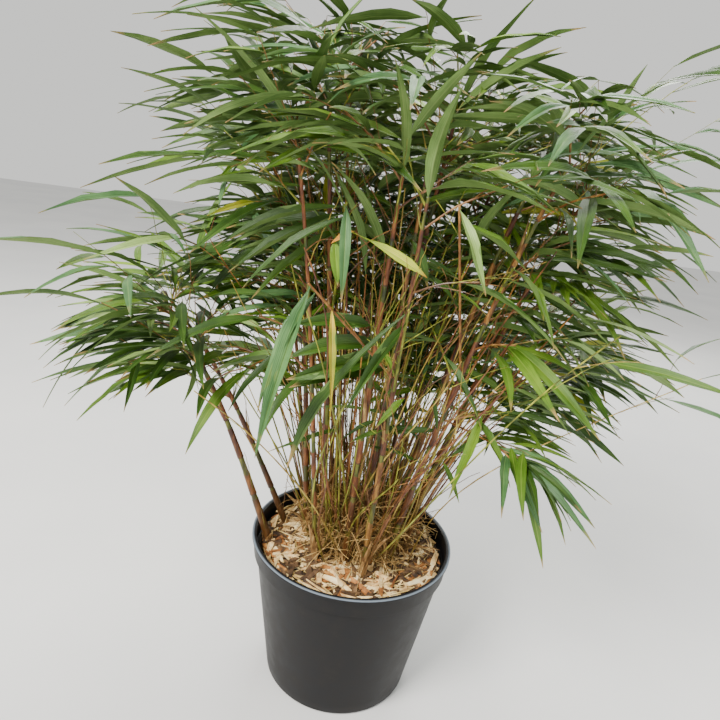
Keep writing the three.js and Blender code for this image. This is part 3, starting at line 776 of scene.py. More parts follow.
def seek_leaf(draw, root, twig_way, aside, owner, twig):
    """A leaf that leaves its twig to one side and droops, tried a few times over."""
    for _ in range(LEAF_TRIES):
        way = twig_way + level_across(twig_way) * (aside + draw(-LEAF_ASIDE_SPREAD, LEAF_ASIDE_SPREAD))
        way[2] = way[2] * LEAF_LEVELLING - draw(*LEAF_DROOP)
        way = unit(way)
        flat = turned_about(-level_across(way), way, draw(-LEAF_TWIST, LEAF_TWIST))
        length = draw(*LEAF_LENGTH)
        if is_before_clump(root + way * (LEAF_WIDEST * length)) or is_before_clump(root + way * length):
            continue
        leaf = grow_leaf(root, way, flat, length, owner, twig)
        if leaf:
            return leaf
    return None


def grow_twig(draw, start, direction, length, owner, twig):
    """A twig with a leaf at its tip and others to either side, or none where no leaf finds room."""
    line = grow(start, direction, length, TWIG_STEPS, TWIG_PULL)
    beads = limb_beads(line, 0, 1, TWIG_RADIUS, TWIG_TIP_RADIUS)
    if not is_clear(beads, owner, twig):
        return None
    found = 0
    for i, share in enumerate(LEAF_SHARES):
        place, way = along(line, min(share, share_back(line, TIP_LEAF_BACK)))
        aside = 0 if i == 0 else (1 if i % 2 else -1) * LEAF_ASIDE
        found += seek_leaf(draw, place, way, aside, owner, twig) is not None
    if not found:
        return None
    keep(beads, owner, twig)
    twigs.append((line, (TWIG_RADIUS, TWIG_TIP_RADIUS)))
    return line


def seek_twig(draw, start, stem_way, turn, owner, twig):
    for _ in range(TWIG_TRIES):
        outward = level(turn + draw(-TWIG_TURN, TWIG_TURN)) * TWIG_OUT
        direction = outward + stem_way * draw(*TWIG_RISE)
        line = grow_twig(draw, start, direction, draw(*TWIG_LENGTH), owner, twig)
        if line:
            return line
    return None


def spray_stem(tip, owner):
    """The shortest clear way from the side of a culm to a spray's tip."""
    best = None
    for i, culm in enumerate(culms):
        share = SPRAY_FROM
        while share <= culm["bare"] - SPRAY_BELOW_TOP:
            place, way = along(culm["line"], share)
            reach = tip - place
            length = np.linalg.norm(reach)
            direction = reach / length
            steep = direction[2] < SPRAY_SLOPE[0] or direction[2] > SPRAY_SLOPE[1]
            if not steep and not (best and length >= best["length"]):
                outward = direction - way * direction.dot(way)
                slant = math.sqrt(1 - outward.dot(outward))
                start = place + unit(outward) * (culm_radius_at(culm, share) + GAP + SPRAY_RADIUS * slant)
                line = grow(start, tip - start, np.linalg.norm(tip - start), 1, 0)
                foot = limb_beads(line, 0, FOOT_SHARE, SPRAY_RADIUS, SPRAY_RADIUS)
                rest = limb_beads(line, FOOT_SHARE, 1, SPRAY_RADIUS, TWIG_RADIUS)
                if is_clear(foot, i) and is_clear(rest, owner):
                    best = line
            share += SPRAY_EVERY
    return best


def keep_stem(line, owner):
    keep(limb_beads(line, 0, 1, SPRAY_RADIUS, TWIG_RADIUS), owner)
    twigs.append((line, (SPRAY_RADIUS, TWIG_RADIUS)))


for i, (tip, plans) in enumerate(FRONT_SPRAYS):
    owner = 200 + i
    line = None
    for shift in TIP_SHIFTS:
        line = line or spray_stem(np.array([tip[0] + shift, tip[1], tip[2]], dtype=float), owner)
    keep_stem(line, owner)
    for back, turn, fall, length, colour, *outline in plans:
        root = along(line, share_back(line, back + TIP_LEAF_BACK))[0]
        for extra in LEAF_TURNS:
            way = falling(turn + extra, fall)
            leaf = grow_leaf(root, way, unit(np.cross(FACING, way)), length, owner, 1, colour)
            if leaf:
                leaf["outline"] = outline[0] if outline else "plain"
                break

draw = seeded(29)
tuft_hearts = []
for i, (x, y) in enumerate(TUFT_FEET):
    owner = 300 + i
    heart = None
    while heart is None or not is_clear((heart[None], np.array([float(TUFT_CROWN_RADIUS)])), owner):
        heart = np.array([x, y, SOIL_TOP + GAP]) + level(draw(0, 2 * math.pi)) * draw(0, TUFT_SHIFT)
    keep((heart[None], np.array([TUFT_CROWN_RADIUS])), owner)
    tuft_hearts.append(heart)
    found = 0
    for tries in range(SHOOT_TRIES):
        if found == SHOOTS_PER_TUFT:
            break
        turn = tries * GOLDEN_ANGLE
        foot = heart + level(turn) * SHOOT_RING + UP * (TUFT_CROWN_HEIGHT / 2)
        outward = np.array([heart[0], heart[1], 0.0]) * (TUFT_LEAN / FOOT_RADIUS)
        direction = level(turn) * draw(*SHOOT_LEAN) + outward + UP
        line = grow(foot, direction, draw(*SHOOT_LENGTH), SHOOT_STEPS, SHOOT_PULL)
        foot_beads = limb_beads(line, 0, FOOT_SHARE, SHOOT_RADIUS, SHOOT_RADIUS)
        beads = limb_beads(line, FOOT_SHARE, 1, SHOOT_RADIUS, SHOOT_TIP_RADIUS)
        if not is_clear(foot_beads, owner) or not is_clear(beads, owner, tries + 1):
            continue
        keep(foot_beads, owner, tries + 1)
        keep(beads, owner, tries + 1)
        shoots.append(line)
        found += 1
        place, way = along(line, share_back(line, TIP_LEAF_BACK))
        seek_leaf(draw, place, way, 0, owner, tries + 1)

draw = seeded(53)
for i in range(SIDE_SPRAYS):
    owner = 400 + i
    turn = math.radians(between(*SIDE_TURNS, i / (SIDE_SPRAYS - 1)))
    line = None
    while line is None:
        outward = level(turn + draw(-SIDE_TURN_SPREAD, SIDE_TURN_SPREAD)) * draw(*SIDE_REACH)
        line = spray_stem(outward + UP * draw(*SIDE_HEIGHT), owner)
    keep_stem(line, owner)
    for j, (share, aside) in enumerate(SIDE_TWIGS):
        place, way = along(line, share)
        seek_twig(draw, place, way, turn + aside, owner, j + 1)

for i, culm in enumerate(culms):
    line = culm["line"]
    owner = 100 + i
    draw = seeded(100 + i)
    start = culm["bare"] + GAP / line["length"]
    for j in range(TWIGS_PER_TOP):
        place, way = along(line, between(start + FIRST_TWIG, LAST_TWIG, j / (TWIGS_PER_TOP - 1)))
        seek_twig(draw, place, way, culm["lean"] + j * GOLDEN_ANGLE, owner, j + 1)
    place, way = along(line, share_back(line, TIP_LEAF_BACK))
    seek_leaf(draw, place, way, 0, owner, TWIGS_PER_TOP + 1)


# The thin shoots: this year's and last year's stems, no thicker than a straw, that rise from the foot between the
# culms. They are jointed like the culms and weathered to straw, orange-brown, olive and red-brown.
SHOOT_COLOURS = {
    "straw": [(0.15, 0.085, 0.009), (0.32, 0.21, 0.026), (0.54, 0.41, 0.08)],
    "orange": [(0.09, 0.026, 0.003), (0.22, 0.075, 0.008), (0.40, 0.18, 0.026)],
    "olive": [(0.055, 0.062, 0.003), (0.16, 0.17, 0.008), (0.36, 0.37, 0.028)],
    "red": [(0.045, 0.010, 0.002), (0.12, 0.032, 0.006), (0.24, 0.09, 0.022)],
}
SHOOT_NODES = ["thin_shoots_1", "thin_shoots_2", "thin_shoots_3", "thin_shoots_4"]
SHOOT_STATIONS = 19
SHOOT_RIDGE = 1.28
MORE_SHOOTS = 150
# Fine limbs may grow closer to others than the rule's clearance, by this much.
CLOSER = -1.8
BOX_MARGIN = 4


def frames(ways):
    """Two directions square to each of a line's directions."""
    side = np.where(np.abs(ways[..., 2:]) < 0.95, UP, np.array([1.0, 0.0, 0.0]))
    side = unit(np.cross(side, ways))
    return side, np.cross(ways, side)


def smoothed(line, shares):
    """Places along a line of few steps, rounded into a curve that keeps the line's ends."""
    knots = line["places"]
    knots = np.concatenate([[2 * knots[0] - knots[1]], knots, [2 * knots[-1] - knots[-2]]])
    spot = shares * (len(knots) - 3)
    i = np.minimum(np.floor(spot).astype(int), len(knots) - 4)
    part = (spot - i)[:, None]
    a, b, c, d = knots[i], knots[i + 1], knots[i + 2], knots[i + 3]
    square, cube = part**2, part**3
    return 0.5 * (2 * b + (c - a) * part + (2 * a - 5 * b + 4 * c - d) * square + (3 * b - a - 3 * c + d) * cube)


def rods(places, radii):
    """Closed six-sided rods through rows of places: the corners and faces of all of them."""
    side, across = frames(unit(np.gradient(places, axis=1)))
    angles = np.arange(6) * 2 * math.pi / 6
    ring = side[:, :, None] * np.cos(angles)[:, None] + across[:, :, None] * np.sin(angles)[:, None]
    spots = places[:, :, None] + ring * radii[:, :, None, None]
    return spots.reshape(-1, 3), tubes(places.shape[1], 6, [(0, 1, 2, 3), (0, 3, 4, 5)], len(places))


def limb_pieces(kind, limbs, skins, soiled, ridge, slot, nodes):
    """One piece for each colour of limb: its rods, thickened by a share at every third station."""
    for colour, colours in skins.items():
        chosen = [limb for limb in limbs if limb["colour"] == colour]
        places = np.array([limb["places"] for limb in chosen])
        share = np.linspace(0, 1, places.shape[1])
        radii = np.array([between(*limb["radii"], share) for limb in chosen])
        radii[:, 2::3] *= ridge
        finish = culm_finish(f"{colour}_{kind}", colours, size=0.02, soiled=soiled)
        joined(f"{colour}_{kind}s", *rods(places, radii), [finish], 50, slot, nodes)


low_edge = np.array(cad_box[0]) / MM + BOX_MARGIN
high_edge = np.array(cad_box[1]) / MM - BOX_MARGIN


def inside(places):
    """True where all the places lie in the plant's own box."""
    return bool(np.all(places > low_edge) and np.all(places < high_edge))


def passes(places, skipped=2):
    """True where a fine limb's line runs through nothing that has grown, past its first few beads."""
    return is_clear((places[skipped:], np.full(len(places) - skipped, CLOSER)), -1, 0)


def picked(draw, names):
    """One of some names by chance."""
    return names[int(draw(0, len(names) - 0.01))]


thin = []
draw = seeded(71)
share = np.linspace(0, 1, SHOOT_STATIONS)
for line in shoots:
    radii = SHOOT_RADIUS, SHOOT_TIP_RADIUS
    thin.append({"places": smoothed(line, share), "radii": radii, "colour": picked(draw, list(SHOOT_COLOURS))})

tries = 0
while len(thin) < len(shoots) + MORE_SHOOTS and tries < 2000:
    tries += 1
    turn = draw(0, 2 * math.pi)
    out = math.sqrt(draw())
    # Most rise in the middle and on the right.
    spot = level(turn) * (FOOT_RADIUS * (0.98 if draw() < 0.25 else 0.7) * out)
    foot = spot + np.array([FOOT_CENTRE[0] + draw(4, 24), FOOT_CENTRE[1], SOIL_TOP - 1])
    lean = level(turn + draw(-0.7, 0.7)) * draw(0.0, 0.36) * (0.4 + out)
    lean = lean + level(draw(0, 2 * math.pi)) * draw(0, 0.34)
    # Those on the right fan out further.
    lean = lean + np.array([0.10, 0, 0]) * (foot[0] > 20)
    length = draw(200, 520)
    line = grow(foot, lean + UP, length, 6, draw(0.1, 0.8))
    bow = level(draw(0, 2 * math.pi)) * draw(-0.09, 0.09) * length
    places = smoothed(line, share) + np.sin(share * math.pi * draw(0.8, 1.6))[:, None] * bow
    if not inside(places) or not passes(places):
        continue
    radius = draw(0.7, 1.35)
    thin.append({
        "places": places,
        "radii": (radius, radius * 0.5),
        "colour": picked(draw, ("straw", "orange", "olive", "red", "straw", "olive")),
        "leafy": draw() < 0.75,
    })
    keep((places, np.linspace(radius, radius * 0.5, SHOOT_STATIONS)), 500 + len(thin))

limb_pieces("shoot", thin, SHOOT_COLOURS, 0.85, SHOOT_RIDGE, "shoot", SHOOT_NODES)


# The twigs: those that carry the leafy sprays, and finer ones that leave the culms at their joints, a few from
# each. They zigzag a little from joint to joint, and end in leaves in the upper part of the plant.
foliage_nodes = [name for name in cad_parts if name.startswith(("leafy_top", "front_spray", "side_spray"))]
TWIG_COLOURS = {
    "brown": [(0.06, 0.02, 0.004), (0.16, 0.065, 0.015), (0.30, 0.15, 0.042)],
    "orange": [(0.10, 0.034, 0.005), (0.22, 0.085, 0.014), (0.38, 0.19, 0.04)],
    "olive": SHOOT_COLOURS["olive"],
    "straw": [(0.11, 0.07, 0.007), (0.24, 0.17, 0.020), (0.43, 0.33, 0.055)],
}
TWIG_STATIONS = 9
TWIG_EVERY = 62
BARE_BELOW = 320
LEAF_PLACES = 14
LEAF_KINDS = (
    "blue", "green", "dark", "green", "dark", "bright", "blue", "dark",
    "green", "dark", "yellow", "dark", "green", "dark", "pale", "dark",
)
FINE_FRONT_EDGE = 35
FINE_FRONT_MIDDLE = -20
FINE_FRONT_HALF = 170
twig_shares = np.linspace(0, 1, TWIG_STATIONS)
fine_leaves = []
fine_twigs = []
spray_colours = {}
deal = seeded(83)


def dealt(owner, twig):
    """The colour of a spray's leaves, dealt out once for each."""
    if (owner, twig) not in spray_colours:
        spray_colours[owner, twig] = picked(deal, LEAF_KINDS)
    return spray_colours[owner, twig]


for leaf in leaves:
    if leaf["colour"]:
        leaf["folded"] = 0.3
        leaf["wide"] = 0.82 if leaf["length"] > 160 else 1.0
    if leaf.get("outline") in ("stalked", "broad"):
        leaf["flat"] = unit(np.cross(np.array([0.0, -1.0, 0.6]), leaf["way"]))
    colour = leaf["colour"] or dealt(leaf["owner"], leaf["twig"])
    # In front only the sprays that stand out there are pale or yellow.
    in_front = leaf["owner"] < 200 and leaf["root"][1] < 30
    leaf["colour"] = "dark" if in_front and colour in ("pale", "yellow", "bright") else colour


def in_open_front(places):
    """True where a place lies before the clump and under the crown, where the stems show."""
    aside = np.abs(places[:, 0] - FINE_FRONT_MIDDLE) < FINE_FRONT_HALF
    return bool(np.any((places[:, 1] < FINE_FRONT_EDGE) & aside & (places[:, 2] < OPEN_FRONT_TOP)))


def fine_leaf(draw, root, twig_way, aside, length, colour):
    """A leaf on a fine twig, where its line is free."""
    for _ in range(4):
        way = twig_way * 0.9 + level_across(twig_way) * (aside + draw(-0.3, 0.3))
        way[2] = way[2] * 0.5 - draw(0, 0.55)
        way = unit(way)
        flat = turned_about(-level_across(way), way, draw(-0.7, 0.7))
        places = root + way * np.linspace(0, length, LEAF_PLACES)[:, None]
        if in_open_front(places) and (draw() < 0.86 or places[:, 1].min() < -70):
            continue
        if inside(places) and passes(places):
            keep((places, np.full(LEAF_PLACES, 0.8)), 0, 0)
            fine_leaves.append({"root": root, "way": way, "flat": flat, "length": length, "colour": colour})
            return


def fine_twig(draw, start, way, length, radius, leaf_count, colour):
    """A fine twig that zigzags, with leaves to either side of its outer part."""
    line = grow(start, way, length, 6, draw(0.05, 0.45))
    places = smoothed(line, twig_shares)
    side = frames(line["ways"][:1])[0]
    swing = np.where(np.arange(TWIG_STATIONS) % 2, 1, -1) * np.minimum(twig_shares * 4, 1) * length * 0.006
    places = places + side * swing[:, None]
    if not inside(places) or not passes(places, 3):
        return
    radii = radius, radius * 0.5
    keep((places, np.linspace(*radii, TWIG_STATIONS)), 0, 0)
    twig_colour = picked(draw, ("brown", "olive", "straw", "brown", "orange", "olive"))
    fine_twigs.append({"places": places, "radii": radii, "colour": twig_colour})
    for j in range(leaf_count):
        place, twig_way = along(line, 1 - 0.13 * j)
        aside = 0 if j == 0 else (0.7 if j % 2 else -0.7)
        fine_leaf(draw, place, twig_way, aside, draw(75, 130) * (1 - 0.05 * j), colour)


for line, radii in twigs:
    colour = picked(deal, ("brown", "orange", "olive", "brown"))
    fine_twigs.append({"places": smoothed(line, twig_shares), "radii": radii, "colour": colour})

# The small leaves that hang among the stems in front: where each starts and ends, its colour and its width as a
# multiple of the usual one. A twig brings each from the nearest culm.
LOW_LEAVES = [
    ((17, -100, 647), (38, -110, 608), "dark", 2.0),
    ((36, -95, 615), (84, -110, 575), "dark", 1.3),
    ((33, -95, 630), (70, -100, 614), "dark", 1.3),
    ((-42, -150, 654), (-61, -160, 642), "orange", 2.4),
    ((-60, -158, 644), (-52, -166, 606), "bright", 2.4),
    ((34, -110, 475), (8, -125, 446), "bright", 1.7),
    ((5, -105, 442), (-29, -115, 419), "dark", 1.7),
    ((16, -105, 431), (-18, -112, 415), "green", 1.3),
    ((30, -90, 488), (13, -100, 470), "dark", 1.7),
    ((71, -70, 464), (81, -75, 429), "dark", 1.3),
    ((95, -70, 385), (121, -80, 343), "green", 1.2),
    ((-5, -110, 535), (17, -118, 505), "bright", 1.7),
]
for root, tip, colour, wide in LOW_LEAVES:
    root = np.array(root, dtype=float)
    reach = np.array(tip, dtype=float) - root
    length = np.linalg.norm(reach)
    nearest = None
    for culm in culms:
        for share in np.arange(0.08, 0.8, 0.02):
            place = along(culm["line"], share)[0]
            apart = np.linalg.norm(place - root)
            if place[2] < root[2] - 4 and (nearest is None or apart < nearest[0]):
                nearest = apart, place, culm_radius_at(culm, share)
    apart, place, radius = nearest
    start = place + unit(root - place) * radius * 0.7
    sag = np.sin(twig_shares * math.pi)[:, None] * np.array([0, 0, 0.06]) * apart
    places = start + (root - start) * twig_shares[:, None] + sag
    fine_twigs.append({"places": places, "radii": (0.8, 0.45), "colour": "brown"})
    way = reach / length
    flat = unit(np.cross(FACING, way))
    fine_leaves.append(
        {"root": root, "way": way, "flat": flat, "length": length * 1.08, "colour": colour, "wide": wide}
    )
    places = root + way * np.linspace(0, length, LEAF_PLACES)[:, None]
    keep((places, np.full(LEAF_PLACES, 3.0)), 0, 0)

draw = seeded(97)
for i, culm in enumerate(culms):
    line = culm["line"]
    for share in np.arange(0.07, 0.99, TWIG_EVERY / line["length"]):
        place, way = along(line, share)
        above = share > culm["bare"] * (0.8 if place[1] < 60 else 0.5)
        before = in_open_front(place[None])
        behind = share > culm["bare"] * (0.4 if place[0] > -40 else 0.8) and place[1] > 10
        joint_twigs = draw(0.6, 2.6) if before else draw(1.5, 4.4) + 1 * above + 7 * behind
        for _ in range(int(joint_twigs)):
            outward = level(draw(0, 2 * math.pi))
            direction = way * draw(0.7, 1.4) + outward * draw(0.3, 0.8 if before else 1.0)
            start = place + outward * culm_radius_at(culm, share) * 0.7
            count = int(draw(2, 4.9)) if above or behind else int(draw(0, 1.35)) * (place[2] > BARE_BELOW)
            length = draw(60, 190)
            fine_twig(draw, start, direction, length, draw(0.5, 0.85), count, dealt(1000 + i, round(share * 9)))

for i, (line, radii) in enumerate(twigs):
    for share in (0.35, 0.6, 0.85):
        place, way = along(line, share)
        direction = way + level_across(way) * draw(-1.1, 1.1) + UP * draw(-0.3, 0.6)
        fine_twig(draw, place, direction, draw(30, 75), 0.6, int(draw(3, 5.9)), dealt(2000, i))

for i, limb in enumerate(thin):
    if limb.get("leafy"):
        places = limb["places"]
        way = unit(places[-1] - places[-2])
        colour = dealt(3000, i)
        fine_leaf(draw, places[-1], way, 0, draw(70, 120), colour)
        for j in (-3, -5):
            fine_twig(draw, places[j], way + level(draw(0, 6.28)) * 0.8, draw(30, 90), 0.5, 2, colour)

limb_pieces("twig", fine_twigs, TWIG_COLOURS, 0.6, 1, "foliage", foliage_nodes)


# The leaves: long and narrow, folded along the midrib, with fine parallel veins and a paler underside. Each is a
# closed thin blade of its own, and the blades of one colour are joined.
LEAF_STATIONS = np.array([0, 0.03, 0.07, 0.16, 0.3, 0.46, 0.62, 0.77, 0.9, 1.0])
LEAF_WIDTHS = {
    "plain": (0.10, 0.10, 0.30, 0.76, 1.0, 0.97, 0.82, 0.56, 0.26, 0.02),
    "broad": (0.12, 0.20, 0.60, 1.30, 1.6, 1.60, 1.45, 1.05, 0.50, 0.04),
    "rolled": (0.06, 0.12, 0.20, 0.32, 0.48, 0.74, 0.95, 0.86, 0.52, 0.03),
    "threaded": (0.06, 0.16, 0.30, 0.50, 0.56, 0.38, 0.17, 0.10, 0.08, 0.02),
    "stalked": (0.06, 0.06, 0.06, 0.07, 0.16, 0.78, 1.15, 1.10, 0.55, 0.04),
}
LEAF_HUMPS = np.array([0, 0.08, 0.2, 0.48, 0.84, 1.0, 0.9, 0.66, 0.32, 0])
# Across the blade: left edge, left half, midrib, right half, right edge, and the midrib's underside.
ACROSS = np.array([-1, -0.5, 0, 0.5, 1, 0])
LEAF_THICKNESS = 0.35
DRY_TIP = (0.42, 0.26, 0.09)
RUST_TIP = (0.46, 0.20, 0.03)
STRAW_TIP = (0.55, 0.36, 0.10)
BROWN_TIP = (0.40, 0.16, 0.03)
# Each kind of leaf: its dark, middle and light colours, those of its midrib and tip, and its roughness.
LEAF_SKINS = {
    "blue": ((0.024, 0.074, 0.018), (0.056, 0.14, 0.04), (0.125, 0.245, 0.08), (0.21, 0.33, 0.10), DRY_TIP, 0.45),
    "green": ((0.031, 0.08, 0.004), (0.07, 0.148, 0.009), (0.14, 0.235, 0.02), (0.22, 0.31, 0.05), DRY_TIP, 0.45),
    "dark": ((0.013, 0.037, 0.003), (0.03, 0.075, 0.007), (0.062, 0.13, 0.014), (0.11, 0.18, 0.035), DRY_TIP, 0.42),
    "bright": ((0.05, 0.115, 0.004), (0.105, 0.205, 0.009), (0.19, 0.31, 0.022), (0.28, 0.40, 0.06), DRY_TIP, 0.45),
    "pale": ((0.11, 0.19, 0.045), (0.19, 0.29, 0.075), (0.29, 0.41, 0.13), (0.38, 0.48, 0.18), DRY_TIP, 0.48),
    "yellow": ((0.10, 0.17, 0.008), (0.27, 0.32, 0.018), (0.52, 0.42, 0.04), (0.50, 0.48, 0.10), RUST_TIP, 0.5),
    "ageing": ((0.11, 0.21, 0.008), (0.34, 0.42, 0.03), (0.66, 0.58, 0.07), (0.70, 0.66, 0.20), RUST_TIP, 0.5),
    "straw": ((0.15, 0.22, 0.010), (0.46, 0.33, 0.018), (0.70, 0.52, 0.07), (0.66, 0.54, 0.15), STRAW_TIP, 0.55),
    "orange": ((0.24, 0.20, 0.015), (0.58, 0.24, 0.02), (0.72, 0.36, 0.035), (0.66, 0.44, 0.08), BROWN_TIP, 0.55),
}
UNDERSIDE = ((0.05, 0.105, 0.018), (0.10, 0.175, 0.036), (0.17, 0.26, 0.07), (0.24, 0.33, 0.10), DRY_TIP, 0.6)


def blades(chosen, seed):
    """The corners, faces, finishes and surface places of many leaves."""
    draw = np.random.default_rng(seed)
    count = len(chosen)
    root, way, flat, length = (
        np.array([leaf[what] for leaf in chosen]) for what in ("root", "way", "flat", "length")
    )
    lift = np.where(["owner" in leaf for leaf in chosen], LEAF_LIFT, draw.uniform(0.02, 0.07, count))
    normal = np.cross(way, flat)
    share = LEAF_STATIONS[None]
    stem = root[:, None] + way[:, None] * (length[:, None] * share)[..., None]
    stem = stem + normal[:, None] * ((length * lift)[:, None] * LEAF_HUMPS)[..., None]
    sway = draw.uniform(-0.03, 0.03, count) * length
    stem = stem + flat[:, None] * (sway[:, None] * np.sin(share * math.pi))[..., None]
    droop = draw.uniform(0.0, 0.07, count) * length
    stem = stem - UP * (droop[:, None] * share**2.5)[..., None]
    twist = draw.uniform(-0.7, 0.7, count)[:, None] * share
    side = flat[:, None] * np.cos(twist)[..., None] + normal[:, None] * np.sin(twist)[..., None]
    up = normal[:, None] * np.cos(twist)[..., None] - flat[:, None] * np.sin(twist)[..., None]
    wide = np.array([leaf.get("wide", 1.0) for leaf in chosen])
    outline = np.array([LEAF_WIDTHS[leaf.get("outline", "plain")] for leaf in chosen])
    half = (LEAF_WIDTH_SHARE / 2 * length * wide)[:, None] * outline * draw.uniform(0.85, 1.05, count)[:, None]
    half = np.maximum(half, 0.25)
    folded = np.array([leaf.get("folded", 0.0) for leaf in chosen])
    fold = np.tan(draw.uniform(0.1, 0.6, count) + folded)[:, None]
    waver = 1 + 0.35 * np.sin(share * draw.uniform(8, 16, count)[:, None] + draw.uniform(0, 6, count)[:, None])
    wide = half[:, :, None] * ACROSS
    high = np.abs(wide) * (fold * waver)[:, :, None]
    high[:, :, [1, 3]] += (0.10 * half + LEAF_THICKNESS * 0.6)[..., None]
    high[:, :, 5] -= LEAF_THICKNESS
    spots = stem[:, :, None] + side[:, :, None] * wide[..., None] + up[:, :, None] * high[..., None]
    stations, ring = spots.shape[1:3]
    faces = tubes(stations, ring, [(1, 2, 5, 0), (3, 4, 5, 2)], count)
    under = np.tile([j >= 4 for j in range(ring)] * (stations - 1) + [False] * 4, count)
    sheet = np.stack(np.broadcast_arrays(ACROSS[None] * 0.5 + 0.5, LEAF_STATIONS[:, None]), axis=-1)
    return spots.reshape(-1, 3), faces, under, np.tile(sheet.reshape(-1, 2), (count, 1))


def leaf_finish(name, dark, middle, light, rib, tip, roughness):
    """A leaf's skin: cloudy colour, a paler midrib, parallel veins and a tip that dries."""
    finish, tree, shader = new_finish(name, roughness)
    sheet = add(tree, "TexCoord", {}).outputs["UV"]
    parts = add(tree, "SeparateXYZ", {"Vector": sheet}).outputs
    clouds = grain(tree, 0.05, detail=4.0)
    streaks = grain(tree, 1, stretch=(16, 2.2, 1), detail=3.0, source="UV")
    streaked = add(tree, "Mix", {0: 0.4, 2: clouds, 3: streaks}).outputs[0]
    skin = tints(tree, streaked, (dark, middle, light), (0.36, 0.5, 0.64))
    from_rib = reckoned(tree, "ABSOLUTE", reckoned(tree, "SUBTRACT", parts["X"], 0.5))
    skin = blended(tree, spread(tree, from_rib, 0.4, 0, 0.03, 0.07), skin, rib)
    recolour_share = reckoned(tree, "MULTIPLY_ADD", grain(tree, 0.03, detail=5.0), 0.5, parts["Y"])
    skin = blended(tree, spread(tree, recolour_share, 0, 1, 1.14, 1.28), skin, tip)
    feed(tree, shader, {"Base Color": skin, "Specular IOR Level": 0.35})
    across = {"Vector": sheet, "Scale": 3.5, "Distortion": 0.4}
    veins = add(tree, "TexWave", across, wave_type="BANDS", bands_direction="X").outputs["Fac"]
    relief(tree, shader, veins, 0.00025, 0.6)
    return finish


underside = leaf_finish("leaf_underside", *UNDERSIDE)
for i, (name, skin) in enumerate(LEAF_SKINS.items()):
    chosen = [leaf for leaf in leaves + fine_leaves if leaf["colour"] == name]
    spots, faces, under, sheet = blades(chosen, 600 + i)
    finishes = [leaf_finish(f"{name}_leaf", *skin), underside]
    joined(f"{name}_leaves", spots, faces, finishes, 55, "foliage", foliage_nodes, under, sheet)


# The litter at the foot: shreds of old sheath and dead fine twigs that lodge between the stems where they leave
# the mulch. They curl over one another, and some reach a hand's breadth up.
def shreds(name, count, seed, lodged, finish):
    """Thin curling strips strewn over the foot, some of them lodged higher up."""
    draw = np.random.default_rng(seed)
    share = np.linspace(0, 1, 9)
    out = 56 * np.sqrt(draw.random(count))
    turn = draw.random(count) * 2 * math.pi
    x = FOOT_CENTRE[0] + 10 + out * np.cos(turn)
    y = FOOT_CENTRE[1] - 4 + out * np.sin(turn)
    heading = draw.uniform(0, 2 * math.pi, count)[:, None] + draw.uniform(-2.4, 2.4, count)[:, None] * share
    slope = draw.uniform(0.1, 1.5, count)[:, None] - draw.uniform(0.2, 2.4, count)[:, None] * share
    step = draw.uniform(25, 100, count)[:, None] / 8
    steps = np.stack([np.cos(heading) * np.cos(slope), np.sin(heading) * np.cos(slope), np.sin(slope)], axis=2)
    places = np.cumsum(steps * step[..., None], axis=1)
    places = places - places[:, :1] + np.stack([x, y, np.zeros(count)], axis=1)[:, None]
    places[..., 2] += np.minimum(draw.exponential(lodged, count), 3 * lodged)[:, None]
    places[..., :2] *= np.minimum(1, 122 / np.hypot(places[..., 0], places[..., 1]))[..., None]
    places[..., 2] = np.maximum(places[..., 2], 0.5) + ground_height(places[..., 0], places[..., 1]) + 1
    radii = draw.uniform(0.25, 0.75, count)[:, None] * (1 - 0.5 * share)
    joined(name, *rods(places, radii), [finish], 50, "shoot", SHOOT_NODES)


SHRED_TANS = [(0.26, 0.14, 0.035), (0.50, 0.32, 0.10), (0.72, 0.54, 0.24)]
SHRED_BROWNS = [(0.09, 0.045, 0.010), (0.23, 0.125, 0.030), (0.42, 0.26, 0.08)]
shreds("tan_shreds", 520, 151, 20, culm_finish("tan_shred", SHRED_TANS, 0.7, soiled=0))
shreds("brown_shreds", 900, 152, 32, culm_finish("brown_shred", SHRED_BROWNS, 0.7, soiled=0))


# The dry sheaths: papery husks that wrap the feet of the culms and tufts, and some that still cling to joints
# higher up. They are tan and streaked, curl in at the sides and end in a point.
HUSK_WIDTHS = np.array([0.9, 1.0, 0.92, 0.7, 0.38, 0.04])
HUSK_CURL = np.linspace(-1.15, 1.15, 5)
HUSK_THICKNESS = 0.45
HUSK_BROWNS = [(0.12, 0.055, 0.016), (0.27, 0.145, 0.045), (0.48, 0.31, 0.12)]


def husks(scales):
    """Curled pointed scales, each from its foot, way up, way out, height, width and how far it leans out."""
    foot, way, outward, height, width, lean = (np.array(values) for values in zip(*scales))
    share = np.linspace(0, 1, len(HUSK_WIDTHS))
    across = unit(np.cross(way, outward))[:, None, None]
    outward = unit(np.cross(across[:, 0, 0], way))[:, None, None]
    stem = foot[:, None] + way[:, None] * (height[:, None] * share)[..., None]
    stem = stem[:, :, None] + outward * ((lean * height)[:, None] * share**2)[..., None, None]
    radius = ((width / 2)[:, None] * HUSK_WIDTHS)[..., None, None]
    curl = HUSK_CURL[:, None]
    outer = stem + across * radius * np.sin(curl) + outward * radius * (np.cos(curl) - 1) * 0.8
    inner = outer[:, :, ::-1] - outward * HUSK_THICKNESS
    spots = np.concatenate([outer, inner], axis=2)
    caps = [(j, j + 1, 8 - j, 9 - j) for j in range(4)]
    return spots.reshape(-1, 3), tubes(len(share), 10, caps, len(foot))


